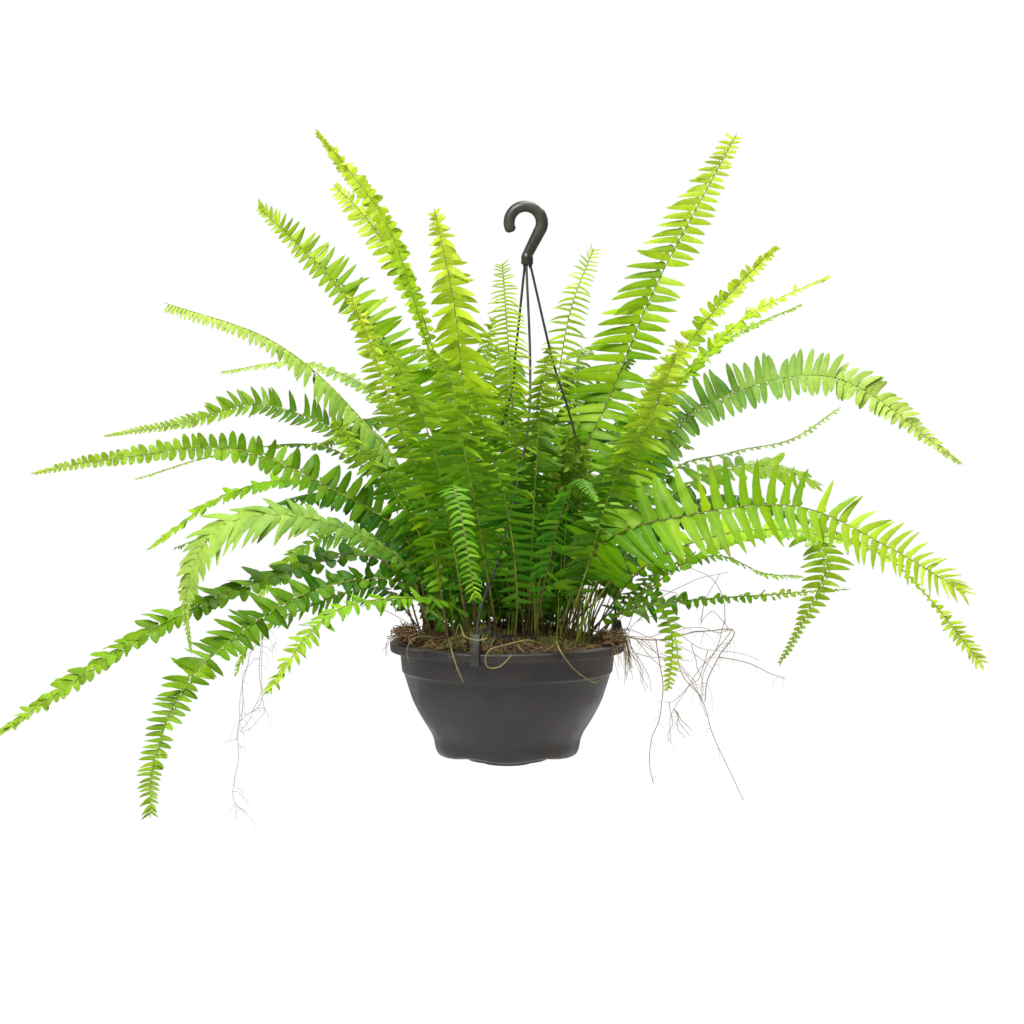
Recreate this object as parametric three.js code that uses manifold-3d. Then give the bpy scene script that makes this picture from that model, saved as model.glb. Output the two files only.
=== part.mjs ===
// A fern in a hanging pot: the plastic pot, its three-rod hanger with a hook, the soil ball,
// arching fronds with leaflets in pairs, pale runners over the rim and hanging roots.
// Millimetres, Z up. Heights are given above the pot's foot, and the finished part is then
// lowered so that its origin is the seat inside the hook, where it hangs.

import * as THREE from "three";
import { mergeVertices } from "three/addons/utils/BufferGeometryUtils.js";
import Module from "manifold-3d";

const wasm = await Module();
wasm.setup();

const V = (x, y, z) => new THREE.Vector3(x, y, z);
const SEED = 7;
const GAP = 0.35;                 // between pieces that touch

// The pot, a 250 mm hanging basket. Each pair is radius and height on its outer wall.
const POT_SEGMENTS = 30;
const RIM_RADIUS = 125;
const RIM_TOP = 130;
const RIM_UNDERSIDE = 121;
const POT_OUTSIDE = [
  [0, 0], [26, 0], [27.2, 4.2], [42.5, 4.2], [44, 8.5], [66, 8.5], [74, 10], [76.8, 17],
  [78.8, 30], [92, 50.5], [101, 68], [108.5, 92], [110.2, 97.5], [112, 99], [114.2, RIM_UNDERSIDE],
  [124.3, RIM_UNDERSIDE], [RIM_RADIUS, 128.5], [123.5, RIM_TOP], [111.5, RIM_TOP],
];
const POT_INSIDE = [[105.5, 92], [98.2, 67], [78.4, 33], [68, 15], [0, 15]];
// Four notches in the lower edge of the wall, this many degrees from the front and the back.
const FOOT_NOTCHES = { from: 33, width: 18, depth: 3, inner: 60, top: 11 };

// The soil ball, domed above the rim.
const SOIL_CENTRE = 147;
const SOIL_FALL = 24;
const SOIL_RADIUS = 109.6;
const SOIL_RELIEF = 2.4;
const STEM_DEPTH = 12;            // how far stems stand in the soil
const STEM_RISE = 6;              // straight stretch above it
const HOLE_RISE = 24;             // a hole's cutter ends this far above the soil
const ROUND_HOLE_ROOM = 0.5;      // round a round stem
const FLAT_HOLE_ROOM = [0.77, 0.56];  // beside a frond's flat stem, and above and below it

// The hanger: a hook on a collar, and three rods to clips on the rim.
const HOOK_CENTRE = V(19, 0, 574);
const HOOK_INSIDE = 11;
const HOOK_RADIUS = 6;            // of its round section
const COLLAR_AXIS = V(21, 0, 0);
const COLLAR_RADIUS = 6.4;
const COLLAR_BOTTOM = 530;
const COLLAR_TOP = 542;
const SOCKET_RING = 3.5;          // from the collar's axis to each rod
const SOCKET_DEPTH = 8;
const ROD_RADIUS = 1.3;
const CLIP_WIDTH = 9;
const CLIP_REACH = 116;           // from the pot's axis to the clip's inner face
const CLIP_LIP = 3;               // thickness of its part under the rim
const CLIP_TOP = 150;
const CLIP_ROD = 121.5;           // from the pot's axis to a rod's lower end
const ROD_SIDES = 5;
const ROD_STEPS = 12;
const RODS = [
  { name: "rod_front", turn: -105,
    path: [[24, -30, 425], [20, -62, 350], [-4, -100, 242], [-26, -116, 180]] },
  { name: "rod_right", turn: 15,
    path: [[48, 5, 429], [66, 12, 372], [95, 22, 262], [113, 30, 182]] },
  { name: "rod_back_left", turn: 135,
    path: [[9, 26, 439], [2, 42, 385], [-38, 74, 262], [-78, 86, 182]] },
];

// Runners: pale stolons that climb over the rim. Each starts at a point of the soil.
const RUNNER_RADIUS = 1.3;
const RUNNER_SIDES = 5;
const RUNNER_STEP = 13;           // about this far from one ring of points to the next
const RUNNERS = [
  { name: "runner_1", root: [-56, -84],
    path: [[-49, -112, 160], [-43, -126, 149], [-30, -134, 146], [-21, -134, 148]] },
  { name: "runner_2", root: [38, -90],
    path: [[22, -108, 143], [-4, -120, 139], [-17, -132, 136], [-22, -134, 127],
      [-19, -133, 118], [-7, -132, 119], [5, -131, 131]] },
  { name: "runner_3", root: [56, -80],
    path: [[51, -106, 141], [55, -126, 133], [66, -116, 117], [79, -97, 104],
      [91, -80, 96], [101, -66, 100]] },
  { name: "runner_4", root: [-66, -74],
    path: [[-60, -104, 143], [-56, -121, 132], [-51, -120, 116], [-45, -113, 101]] },
];

// Root sprays: one strand leaves the soil, and thinner ones branch from it at a given point.
const STRAND_RADIUS = 1.3;
const STRAND_STEPS = 15;
const BRANCH_RADIUS = 0.9;        // of a strand's end, and about that of its branches
const BRANCH_STEPS = 5;
const ROOT_SPRAYS = [
  { name: "roots_right", root: [88, -24],
    path: [[106, -30, 144], [126, -36, 139], [156, -40, 137], [196, -42, 144],
      [237, -46, 146], [222, -50, 119], [210, -52, 96], [207, -52, 72]],
    branches: [
      [[156, -40, 137], [164, -42, 72], [152, -44, 30], [150, -44, 2], [154, -44, -16]],
      [[176, -41, 140], [184, -38, 98], [205, -34, 70], [217, -32, 33], [229, -30, 6], [250, -28, -36]],
      [[222, -50, 119], [254, -56, 113], [276, -60, 103], [290, -62, 98]],
    ] },
  { name: "roots_left", root: [-88, 8],
    path: [[-126, 10, 160], [-190, 14, 184], [-246, 14, 165], [-264, 12, 108],
      [-263, 12, 64], [-286, 12, 42], [-288, 10, 2], [-294, 8, -38], [-281, 8, -56]],
    branches: [
      [[-256, 14, 140], [-280, 20, 104], [-286, 22, 46]],
    ] },
];

// Fronds. Each stands at a root in the soil, follows its path to the tip, and carries
// leaflets of a given length. Its upper side looks outward along its arch, and turn
// brings it round towards the front, from 0 for not at all to 1 for fully.
const FRONDS = [
  { name: "frond_up_1", root: [-25, 12], leaflet: 13, turn: 0.15,
    path: [[-50, 12, 310], [-90, 22, 460], [-130, 35, 575], [-205, 50, 675]] },
  { name: "frond_up_2", root: [-22, 52], leaflet: 18, turn: 0.5,
    path: [[-60, 75, 330], [-90, 90, 470], [-140, 100, 565], [-190, 110, 620]] },
  { name: "frond_up_3", root: [-48, -8], leaflet: 32, turn: 0.7,
    path: [[-65, -15, 305], [-105, -25, 405], [-170, -30, 500], [-260, -30, 590]] },
  { name: "frond_up_4", root: [-18, -42], leaflet: 36, turn: 1,
    path: [[-30, -50, 315], [-45, -62, 400], [-55, -70, 490], [-75, -75, 585]] },
  { name: "frond_up_5", root: [4, -18], leaflet: 22, turn: 0.8,
    path: [[10, -24, 305], [5, -28, 390], [0, -32, 460], [-5, -35, 530]] },
  { name: "frond_up_6", root: [22, 62], leaflet: 26, turn: 0.8,
    path: [[40, 90, 310], [55, 110, 405], [70, 120, 485], [95, 130, 550]] },
  { name: "frond_up_7", root: [45, 12], leaflet: 38, turn: 0.8,
    path: [[70, 22, 300], [110, 32, 390], [160, 40, 510], [245, 45, 670]] },
  { name: "frond_up_8", root: [64, -4], leaflet: 18, turn: 0.3,
    path: [[100, -8, 300], [150, 0, 385], [210, 5, 470], [285, 10, 550]] },
  { name: "frond_up_9", root: [60, 38], leaflet: 15, turn: 0.2,
    path: [[120, 55, 300], [185, 70, 400], [260, 80, 475], [350, 90, 520]] },
  { name: "frond_up_10", root: [45, 72], leaflet: 13, turn: 0.2,
    path: [[115, 110, 305], [175, 140, 385], [245, 160, 450], [330, 180, 490]] },
  { name: "frond_up_11", root: [-62, -50], leaflet: 26, turn: 0.9,
    path: [[-85, -62, 285], [-115, -80, 370], [-140, -90, 445], [-160, -95, 495]] },
  { name: "frond_up_12", root: [-40, -66], leaflet: 34, turn: 1,
    path: [[-60, -90, 265], [-75, -120, 340], [-95, -140, 395], [-120, -150, 445]] },
  { name: "frond_up_13", root: [-10, -72], leaflet: 32, turn: 1,
    path: [[-30, -120, 270], [-45, -150, 350], [-55, -165, 405], [-75, -172, 445]] },
  { name: "frond_up_14", root: [50, -48], leaflet: 34, turn: 0.9,
    path: [[95, -45, 240], [130, -60, 315], [155, -70, 385], [180, -75, 450]] },
  { name: "frond_up_15", root: [22, 22], leaflet: 28, turn: 0.7,
    path: [[40, 28, 215], [60, 36, 300], [90, 45, 370], [135, 55, 435]] },
  { name: "frond_up_16", root: [-8, 18], leaflet: 26, turn: 0.8,
    path: [[0, 22, 215], [-15, 28, 320], [-25, 30, 405], [-15, 34, 475]] },
  { name: "frond_up_17", root: [22, -45], leaflet: 30, turn: 1,
    path: [[25, -60, 220], [30, -72, 315], [35, -80, 390], [45, -84, 445]] },
  { name: "frond_right_1", root: [76, 18], leaflet: 33, turn: 0.6,
    path: [[140, 30, 290], [205, 45, 375], [350, 60, 410], [495, 75, 315]] },
  { name: "frond_right_2", root: [70, 58], leaflet: 20, turn: 0.2,
    path: [[170, 110, 295], [245, 130, 325], [315, 140, 340], [370, 150, 375]] },
  { name: "frond_right_3", root: [84, 0], leaflet: 26, turn: 0.5,
    path: [[150, 8, 260], [220, 18, 310], [285, 25, 315], [335, 30, 295]] },
  { name: "frond_right_4", root: [68, -54], leaflet: 50, turn: 0.8,
    path: [[95, -110, 240], [185, -150, 275], [290, -180, 285], [380, -192, 245], [455, -200, 200]] },
  { name: "frond_right_5", root: [86, -22], leaflet: 34, turn: 0.6,
    path: [[150, -62, 220], [260, -82, 255], [375, -92, 235], [430, -97, 190], [490, -102, 115]] },
  { name: "frond_right_6", root: [92, 6], leaflet: 24, turn: 0.7,
    path: [[195, -12, 220], [285, -24, 250], [335, -32, 225], [320, -40, 175], [285, -50, 110]] },
  { name: "frond_right_7", root: [88, 30], leaflet: 24, turn: 0.3,
    path: [[165, 62, 200], [230, 80, 215], [280, 95, 195], [325, 110, 190]] },
  { name: "frond_right_8", root: [96, -12], leaflet: 20, turn: 0.4,
    path: [[125, -20, 165], [195, -10, 175], [280, 0, 180], [365, 10, 185]] },
  { name: "frond_right_9", root: [88, -42], leaflet: 16, turn: 0.6,
    path: [[140, -72, 190], [160, -92, 175], [170, -100, 140], [165, -105, 90]] },
  { name: "frond_left_1", root: [-60, 12], leaflet: 34, turn: 0.25,
    path: [[-95, 22, 280], [-170, 40, 380], [-255, 55, 450], [-370, 70, 490]] },
  { name: "frond_left_2", root: [-55, 50], leaflet: 20, turn: 0.3,
    path: [[-85, 90, 310], [-145, 110, 390], [-225, 120, 425], [-315, 130, 415]] },
  { name: "frond_left_3", root: [-72, 22], leaflet: 26, turn: 0.8,
    path: [[-95, 42, 245], [-160, 60, 335], [-265, 75, 380], [-350, 85, 360], [-440, 90, 345]] },
  { name: "frond_left_4", root: [-82, 0], leaflet: 28, turn: 0.4,
    path: [[-105, -2, 235], [-170, -10, 285], [-285, -20, 335], [-420, -26, 325], [-500, -30, 310]] },
  { name: "frond_left_5", root: [-72, 52], leaflet: 22, turn: 0.3,
    path: [[-105, 90, 255], [-195, 120, 330], [-310, 140, 325], [-415, 150, 295]] },
  { name: "frond_left_6", root: [-86, 32], leaflet: 18, turn: 0.4,
    path: [[-115, 60, 235], [-215, 80, 295], [-310, 95, 280], [-395, 105, 220]] },
  { name: "frond_left_7", root: [-84, -28], leaflet: 32, turn: 0.6,
    path: [[-110, -50, 220], [-200, -70, 265], [-280, -85, 265], [-318, -90, 232], [-332, -92, 180],
      [-326, -94, 128]] },
  { name: "frond_left_8", root: [-94, -10], leaflet: 22, turn: 0.6,
    path: [[-135, -20, 220], [-240, -45, 205], [-370, -75, 150], [-525, -100, 45]] },
  { name: "frond_left_9", root: [-76, -48], leaflet: 26, turn: 0.8,
    path: [[-110, -70, 200], [-210, -110, 190], [-315, -150, 115], [-355, -165, 30], [-360, -170, -30]] },
  { name: "frond_left_10", root: [-92, 14], leaflet: 26, turn: 0.5,
    path: [[-125, 22, 225], [-185, 32, 240], [-235, 40, 215], [-270, 45, 170]] },
  { name: "frond_left_11", root: [-40, -86], leaflet: 26, turn: 0.4,
    path: [[-55, -122, 180], [-115, -150, 190], [-180, -180, 175], [-240, -200, 100]] },
  { name: "frond_left_12", root: [-90, 48], leaflet: 24, turn: 0.4,
    path: [[-140, 72, 180], [-225, 90, 155], [-280, 98, 125], [-300, 104, 80]] },
  { name: "frond_left_13", root: [-62, -22], leaflet: 28, turn: 0.8,
    path: [[-80, -32, 220], [-120, -50, 295], [-155, -60, 335], [-180, -66, 370]] },
  { name: "frond_front_1", root: [-30, -78], leaflet: 24, turn: 0.4,
    path: [[-40, -130, 225], [-55, -200, 305], [-45, -260, 285], [-30, -290, 200]] },
  { name: "frond_front_2", root: [8, -84], leaflet: 32, turn: 0.9,
    path: [[10, -95, 195], [0, -118, 280], [-20, -145, 350], [-35, -170, 405]] },
  { name: "frond_front_3", root: [58, -66], leaflet: 32, turn: 0.8,
    path: [[85, -100, 225], [105, -140, 300], [125, -185, 345], [145, -235, 375]] },
  { name: "frond_front_4", root: [28, -80], leaflet: 28, turn: 0.6,
    path: [[40, -115, 210], [55, -175, 280], [70, -235, 315], [85, -290, 300]] },
];

// Tufts on the far side: three fronds grown from one root, a low, a middling and a steep one.
const TUFTS = [
  { name: "fronds_back_right", root: [62, 62], turns: [22, 60, 80] },
  { name: "fronds_back_middle", root: [4, 88], turns: [104, 76, 92] },
  { name: "fronds_back_left", root: [-40, 78], turns: [150, 128, 116] },
];
const TUFT_REACH = [400, 310, 180];
const TUFT_HEIGHT = [290, 375, 440];
const TUFT_DROOP = [0.72, 0.86, 1];
const TUFT_LEAFLET = 28;
const TUFT_TURN = 0.1;

// Rib and leaflets of a frond.
const PITCH = 20;                 // from one pair of leaflets to the next
const TUFT_PITCH = 34;
const CROWDING = 0.26;            // how much closer the pairs stand towards the tip
const BARE = 0.2;                 // share of the stem below the first pair
const BARE_STEPS = 3;
const RIB_WIDTH = [3.2, 1.4];     // at the root and at the tip
const RIB_THICKNESS = [2, 0.9];
const LEAFLET_TIP = 0.6;          // thickness at a leaflet's tip
const LEAFLET_SWEEP = 22;         // degrees towards the frond's tip
const FOLDS = [0, 16, -16, 32, -32, 48, -48];
const SHORTER = [1, 0.8, 0.62, 0.45];
const RIB_CLEARANCE = 5;
const BEND_ROUNDS = 60;
const BEND_SPREAD = 45;           // how far along a rib a bend reaches
const BEND_HOLD = 50;             // a rib gives way less within this distance of its foot
const SISTER_ROOM = 26;           // sisters of a tuft may meet this near their root
const BAR_ROOM = 0.3;             // added round rods, runners and roots
const LEAFLET_ROOM = 0.9;         // between the outer parts of one frond's leaflets
const LEAFLET_JITTER = 14;        // degrees by which folds differ from leaflet to leaflet
const POT_ROOM = 2.5;             // between leaflets and the pot
const SOIL_ROOM = 3;              // between leaflets and the soil

const FINISH = {
  pot: { color: 0x3d3e41, roughness: 0.55 },
  hanger: { color: 0x33342f, roughness: 0.5 },
  soil: { color: 0x3a2a20, roughness: 0.95 },
  runner: { color: 0xa3a860, roughness: 0.6 },
  root: { color: 0x6d5140, roughness: 0.85 },
  frond: { color: 0x6fae2a, roughness: 0.55 },
};

const radians = THREE.MathUtils.degToRad;
const lerp = THREE.MathUtils.lerp;

function randomDraws(seed) {
  let state = seed;
  return () => {
    state = (state * 1664525 + 1013904223) % 4294967296;
    return state / 4294967296;
  };
}

// One closed body from vertices and triangles, with its faces looking out.
function body(points, triangles) {
  const geometry = new THREE.BufferGeometry();
  const numbers = points.flatMap((point) => point.toArray());
  geometry.setAttribute("position", new THREE.Float32BufferAttribute(numbers, 3));
  geometry.setIndex(triangles.flat());
  return geometry;
}

// Joins a built-in shape's seams, drops faces that have shrunk to a line, and faces it out.
function closed(shape) {
  const bare = shape.clone();
  bare.deleteAttribute("normal");
  bare.deleteAttribute("uv");
  const merged = mergeVertices(bare, 1e-3);
  const position = merged.attributes.position;
  const index = merged.index.array;
  const corner = (i) => new THREE.Vector3().fromBufferAttribute(position, i);
  const kept = [];
  let volume = 0;
  for (let i = 0; i < index.length; i += 3) {
    const [a, b, c] = [index[i], index[i + 1], index[i + 2]];
    if (a === b || b === c || c === a) {
      continue;
    }
    kept.push([a, b, c]);
    volume += corner(a).dot(corner(b).cross(corner(c)));
  }
  merged.setIndex(kept.flatMap(([a, b, c]) => (volume > 0 ? [a, b, c] : [a, c, b])));
  return merged;
}

function solid(geometry) {
  const vertProperties = new Float32Array(geometry.attributes.position.array);
  const triVerts = new Uint32Array(geometry.index.array);
  return new wasm.Manifold(new wasm.Mesh({ numProp: 3, vertProperties, triVerts }));
}

function surface(manifold) {
  const mesh = manifold.getMesh();
  const geometry = new THREE.BufferGeometry();
  geometry.setAttribute("position", new THREE.Float32BufferAttribute(mesh.vertProperties, 3));
  geometry.setIndex([...mesh.triVerts]);
  return geometry;
}

function lathe(profile, segments) {
  const shape = new THREE.LatheGeometry(profile.map(([r, z]) => new THREE.Vector2(r, z)), segments);
  shape.rotateX(Math.PI / 2);
  return closed(shape);
}

// A round bar through the points, with its own radius at each and flat ends.
function bar(points, radii, sides) {
  const last = points.length - 1;
  const along = points.map((_, i) =>
    points[Math.min(i + 1, last)].clone().sub(points[Math.max(i - 1, 0)]).normalize());
  const across = V(0, 1, 0).addScaledVector(along[0], -along[0].y).normalize();
  const vertices = [];
  const triangles = [];
  points.forEach((point, i) => {
    if (i > 0) {
      across.applyQuaternion(new THREE.Quaternion().setFromUnitVectors(along[i - 1], along[i]));
    }
    const third = along[i].clone().cross(across);
    for (let k = 0; k < sides; k++) {
      const angle = (2 * Math.PI * k) / sides;
      vertices.push(point.clone()
        .addScaledVector(across, radii[i] * Math.cos(angle))
        .addScaledVector(third, radii[i] * Math.sin(angle)));
    }
  });
  for (let k = 0; k < sides; k++) {
    const next = (k + 1) % sides;
    for (let i = 0; i < last; i++) {
      const [low, high] = [i * sides, (i + 1) * sides];
      triangles.push([low + k, low + next, high + next], [low + k, high + next, high + k]);
    }
    if (k > 0 && next > 0) {
      triangles.push([0, next, k], [last * sides, last * sides + k, last * sides + next]);
    }
  }
  return body(vertices, triangles);
}

function soilHeight(x, y) {
  const r = Math.hypot(x, y) / SOIL_RADIUS;
  const relief = Math.sin(x / 9 + 1) * Math.cos(y / 11) + 0.6 * Math.sin(x / 23 - y / 17);
  return SOIL_CENTRE - SOIL_FALL * r * r + SOIL_RELIEF * relief * Math.max(0, 1 - r ** 4);
}

// The smooth curve through points that are given as triples or vectors.
function smoothCurve(points) {
  const vectors = points.map((point) => V(...point));
  return new THREE.CatmullRomCurve3(vectors, false, "catmullrom", 0.5);
}

// A stem's middle line: down into the soil, straight up out of it, then along its path.
function stemLine(root, path, steps) {
  const [x, y] = root;
  const ground = soilHeight(x, y);
  const curve = smoothCurve([[x, y, ground + STEM_RISE], ...path]);
  return [V(x, y, ground - STEM_DEPTH), ...curve.getSpacedPoints(steps)];
}

function lineLength(points) {
  return points.slice(1).reduce((sum, point, i) => sum + point.distanceTo(points[i]), 0);
}

// A hole in the soil for a round stem.
function roundHole(x, y, radius) {
  const ground = soilHeight(x, y);
  const ends = [V(x, y, ground - STEM_DEPTH - GAP), V(x, y, ground + HOLE_RISE)];
  const wide = radius + ROUND_HOLE_ROOM;
  return bar(ends, [wide, wide], 6);
}

function potGeometry() {
  const shape = lathe([...POT_OUTSIDE, ...POT_INSIDE], POT_SEGMENTS);
  const position = shape.attributes.position;
  for (let i = 0; i < position.count; i++) {
    const [x, y, z] = [position.getX(i), position.getY(i), position.getZ(i)];
    const isLowEdge = Math.hypot(x, y) > FOOT_NOTCHES.inner && z < FOOT_NOTCHES.top;
    if (isLowEdge) {
      const fromFront = THREE.MathUtils.radToDeg(Math.atan2(Math.abs(x), Math.abs(y)));
      const away = (fromFront - FOOT_NOTCHES.from) / FOOT_NOTCHES.width;
      position.setZ(i, z + FOOT_NOTCHES.depth * Math.exp(-away * away));
    }
  }
  return shape;
}

function soilGeometry(holes) {
  const sides = POT_INSIDE.slice(0, -1).reverse().map(([r, z]) => [r - GAP * 2, z + GAP]);
  const edge = [[SOIL_RADIUS, 124.5]];
  const top = [0.8, 0.52, 0.25, 0].map((share) => [SOIL_RADIUS * share, SOIL_CENTRE]);
  const shape = lathe([[0, POT_INSIDE.at(-1)[1] + GAP], ...sides, ...edge, ...top], POT_SEGMENTS);
  const position = shape.attributes.position;
  for (let i = 0; i < position.count; i++) {
    if (position.getZ(i) > SOIL_CENTRE - 1) {
      position.setZ(i, soilHeight(position.getX(i), position.getY(i)));
    }
  }
  return surface(holes.reduce((soil, hole) => soil.subtract(solid(hole)), solid(shape)));
}

function hookGeometry() {
  const bend = HOOK_INSIDE + HOOK_RADIUS;
  const at = (degrees) => V(Math.cos(radians(degrees)), 0, Math.sin(radians(degrees)))
    .multiplyScalar(bend).add(HOOK_CENTRE);
  const down = V(0.29, 0, -0.96);
  const points = [5.4, 3.8, 0].map((past) => at(197).addScaledVector(down, past));
  const radii = [0.45, 0.8, 1].map((share) => HOOK_RADIUS * share);
  for (let degrees = 180; degrees >= -20; degrees -= 20) {
    points.push(at(degrees));
    radii.push(degrees < 30 ? HOOK_RADIUS * 1.1 : HOOK_RADIUS);
  }
  const neck = V(COLLAR_AXIS.x, 0, COLLAR_TOP - 2);
  points.push(at(-20).lerp(neck, 0.3), at(-20).lerp(neck, 0.65), neck);
  radii.push(HOOK_RADIUS, HOOK_RADIUS * 0.92, HOOK_RADIUS * 0.88);
  const collar = [[0, COLLAR_BOTTOM], [COLLAR_RADIUS, COLLAR_BOTTOM], [COLLAR_RADIUS, COLLAR_TOP - 4],
    [COLLAR_RADIUS * 0.8, COLLAR_TOP], [0, COLLAR_TOP]];
  const collarShape = lathe(collar, 16).translate(COLLAR_AXIS.x, 0, 0);
  const whole = solid(bar(points, radii, 8)).add(solid(collarShape));
  return surface(RODS.reduce((hook, rod) => {
    const top = rodTop(rod);
    const mouth = V(top.x, top.y, COLLAR_BOTTOM - 1);
    const end = V(top.x, top.y, COLLAR_BOTTOM + SOCKET_DEPTH);
    const radius = ROD_RADIUS + GAP;
    return hook.subtract(solid(bar([mouth, end], [radius, radius], 6)));
  }, whole));
}

function rodTop(rod) {
  const turn = radians(rod.turn);
  const ring = V(Math.cos(turn), Math.sin(turn), 0).multiplyScalar(SOCKET_RING);
  return ring.add(COLLAR_AXIS).setZ(COLLAR_BOTTOM + SOCKET_DEPTH - GAP);
}

function rodLine(rod) {
  const top = rodTop(rod);
  const out = V(Math.cos(radians(rod.turn)), Math.sin(radians(rod.turn)), 0);
  const mouth = top.clone().setZ(COLLAR_BOTTOM - 1);
  const clip = out.clone().multiplyScalar(CLIP_ROD).setZ(CLIP_TOP - 4);
  return [top, ...smoothCurve([mouth, ...rod.path, clip]).getSpacedPoints(ROD_STEPS)];
}

// A clip that grips the rim, as a flat outline in radius and height pushed through its width.
function clipGeometry(rod) {
  const inner = RIM_RADIUS + GAP;
  const [over, under] = [RIM_TOP + GAP, RIM_UNDERSIDE - GAP];
  const low = under - CLIP_LIP;
  const outline = [[CLIP_REACH, over], [inner, over], [inner, under], [CLIP_REACH, under],
    [CLIP_REACH, low], [inner + 2.6, low], [inner + 3.4, over + 2], [RIM_RADIUS, CLIP_TOP],
    [CLIP_REACH + 2, CLIP_TOP], [CLIP_REACH, over + 4]];
  const shape = new THREE.Shape(outline.map(([r, z]) => new THREE.Vector2(r, z)));
  const block = new THREE.ExtrudeGeometry(shape, { depth: CLIP_WIDTH, bevelEnabled: false });
  block.translate(0, 0, -CLIP_WIDTH / 2);
  block.rotateX(Math.PI / 2);
  block.rotateZ(radians(rod.turn));
  return closed(block);
}

function rodGeometry(rod) {
  const line = rodLine(rod);
  const shaft = bar(line, line.map(() => ROD_RADIUS), ROD_SIDES);
  return surface(solid(shaft).add(solid(clipGeometry(rod))));
}

function runnerLine(runner) {
  const length = lineLength(runner.path.map((point) => V(...point)));
  return stemLine(runner.root, runner.path, Math.round(length / RUNNER_STEP) + 3);
}

function taper(line, from, to) {
  return line.map((_, i) => lerp(from, to, i / (line.length - 1)));
}

function sprayLines(spray) {
  const branches = spray.branches.map((points) => smoothCurve(points).getSpacedPoints(BRANCH_STEPS));
  return [stemLine(spray.root, spray.path, STRAND_STEPS), ...branches];
}

function sprayGeometry(spray) {
  const [main, ...branches] = sprayLines(spray);
  const trunk = solid(bar(main, taper(main, STRAND_RADIUS, BRANCH_RADIUS), 4));
  return surface(branches.reduce((whole, line) => {
    const radii = taper(line, BRANCH_RADIUS * 1.2, BRANCH_RADIUS * 0.7);
    return whole.add(solid(bar(line, radii, 3)));
  }, trunk));
}

// Every frond in one list, with those of the tufts worked out from their turns.
function allFronds() {
  const fronds = FRONDS.map((frond) => ({ ...frond, node: frond.name, pitch: PITCH }));
  for (const tuft of TUFTS) {
    tuft.turns.forEach((turn, i) => {
      const out = V(Math.cos(radians(turn)), Math.sin(radians(turn)), 0);
      const root = V(...tuft.root, 0);
      const [reach, height] = [TUFT_REACH[i], TUFT_HEIGHT[i]];
      const path = [[0.14, 0.62], [0.45, 0.96], [1, TUFT_DROOP[i]]].map(([share, rise]) =>
        root.clone().addScaledVector(out, reach * share).setZ(height * rise).toArray());
      const shared = { leaflet: TUFT_LEAFLET, pitch: TUFT_PITCH, turn: TUFT_TURN };
      fronds.push({ node: tuft.name, root: tuft.root, path, ...shared });
    });
  }
  return fronds;
}

// Points along a frond's rib: few on the bare stem, then one for each pair of leaflets.
function ribOf(frond) {
  const dense = stemLine(frond.root, frond.path, 100);
  const length = lineLength(dense.slice(1));
  const pairs = Math.max(8, Math.round((length * (1 - BARE)) / frond.pitch));
  const shares = [];
  for (let i = 0; i < BARE_STEPS; i++) {
    shares.push((BARE * i) / BARE_STEPS);
  }
  for (let i = 0; i <= pairs; i++) {
    const share = i / (pairs + 0.4);
    shares.push(BARE + (1 - BARE) * (share - CROWDING * share * share) / (1 - CROWDING));
  }
  shares.push(1);
  const at = (share) => {
    const place = 1 + share * (dense.length - 2);
    const low = Math.min(Math.floor(place), dense.length - 2);
    return dense[low].clone().lerp(dense[low + 1], place - low);
  };
  return { frond, length, points: [dense[0], ...shares.map(at)], firstPair: BARE_STEPS + 1, pairs };
}

const edgeLines = (points) => points.slice(1).map((end, i) => new THREE.Line3(points[i], end));

// Bends ribs clear of what is already in place, most where they come closest.
function bendClear(rib, settled) {
  const [here, there] = [V(), V()];
  for (let round = 0; round < BEND_ROUNDS; round++) {
    let worst = null;
    const own = edgeLines(rib.points);
    for (const other of settled) {
      const isSister = other.node === rib.frond.node;
      for (const line of other.lines) {
        for (let i = 2; i < own.length; i++) {
          const need = RIB_CLEARANCE + other.radius;
          const gap = Math.sqrt(own[i].distanceSqToLine3(line, here, there));
          const fromRoot = Math.hypot(here.x - rib.points[0].x, here.y - rib.points[0].y);
          const isNearRoot = isSister && fromRoot < SISTER_ROOM;
          if (gap < need && !isNearRoot && (!worst || need - gap > worst.short)) {
            worst = { short: need - gap, here: here.clone(), push: here.clone().sub(there) };
          }
        }
      }
    }
    if (!worst) {
      return;
    }
    if (worst.push.length() < 0.05) {
      worst.push.set(0, 1, 0.3);
    }
    worst.push.setLength(Math.min(worst.short + 0.4, 4));
    rib.points.forEach((point, i) => {
      if (i > 1) {
        const spread = Math.exp(-((point.distanceTo(worst.here) / BEND_SPREAD) ** 2));
        const held = Math.min(1, point.distanceTo(rib.points[1]) / BEND_HOLD);
        point.addScaledVector(worst.push, spread * held);
      }
    });
  }
}

// The direction of travel, the upper side and the left side at each point of a rib.
function framesOf(rib) {
  const { points, frond } = rib;
  const last = points.length - 1;
  const end = points[last];
  const out = V(end.x - points[0].x, end.y - points[0].y, 0).normalize();
  return points.map((point, i) => {
    const isInSoil = i < 2;
    const before = isInSoil ? points[0] : points[i - 1];
    const along = (isInSoil ? points[1] : points[Math.min(i + 1, last)]).clone().sub(before).normalize();
    const share = isInSoil ? 0 : i / last;
    const natural = out.clone().multiplyScalar(lerp(-0.9, 0.9, share)).add(V(0, 0, 0.8)).normalize();
    const upper = natural.lerp(V(0, -1, 0.15), frond.turn);
    upper.addScaledVector(along, -upper.dot(along)).normalize();
    return { along, upper, left: upper.clone().cross(along) };
  });
}

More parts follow.
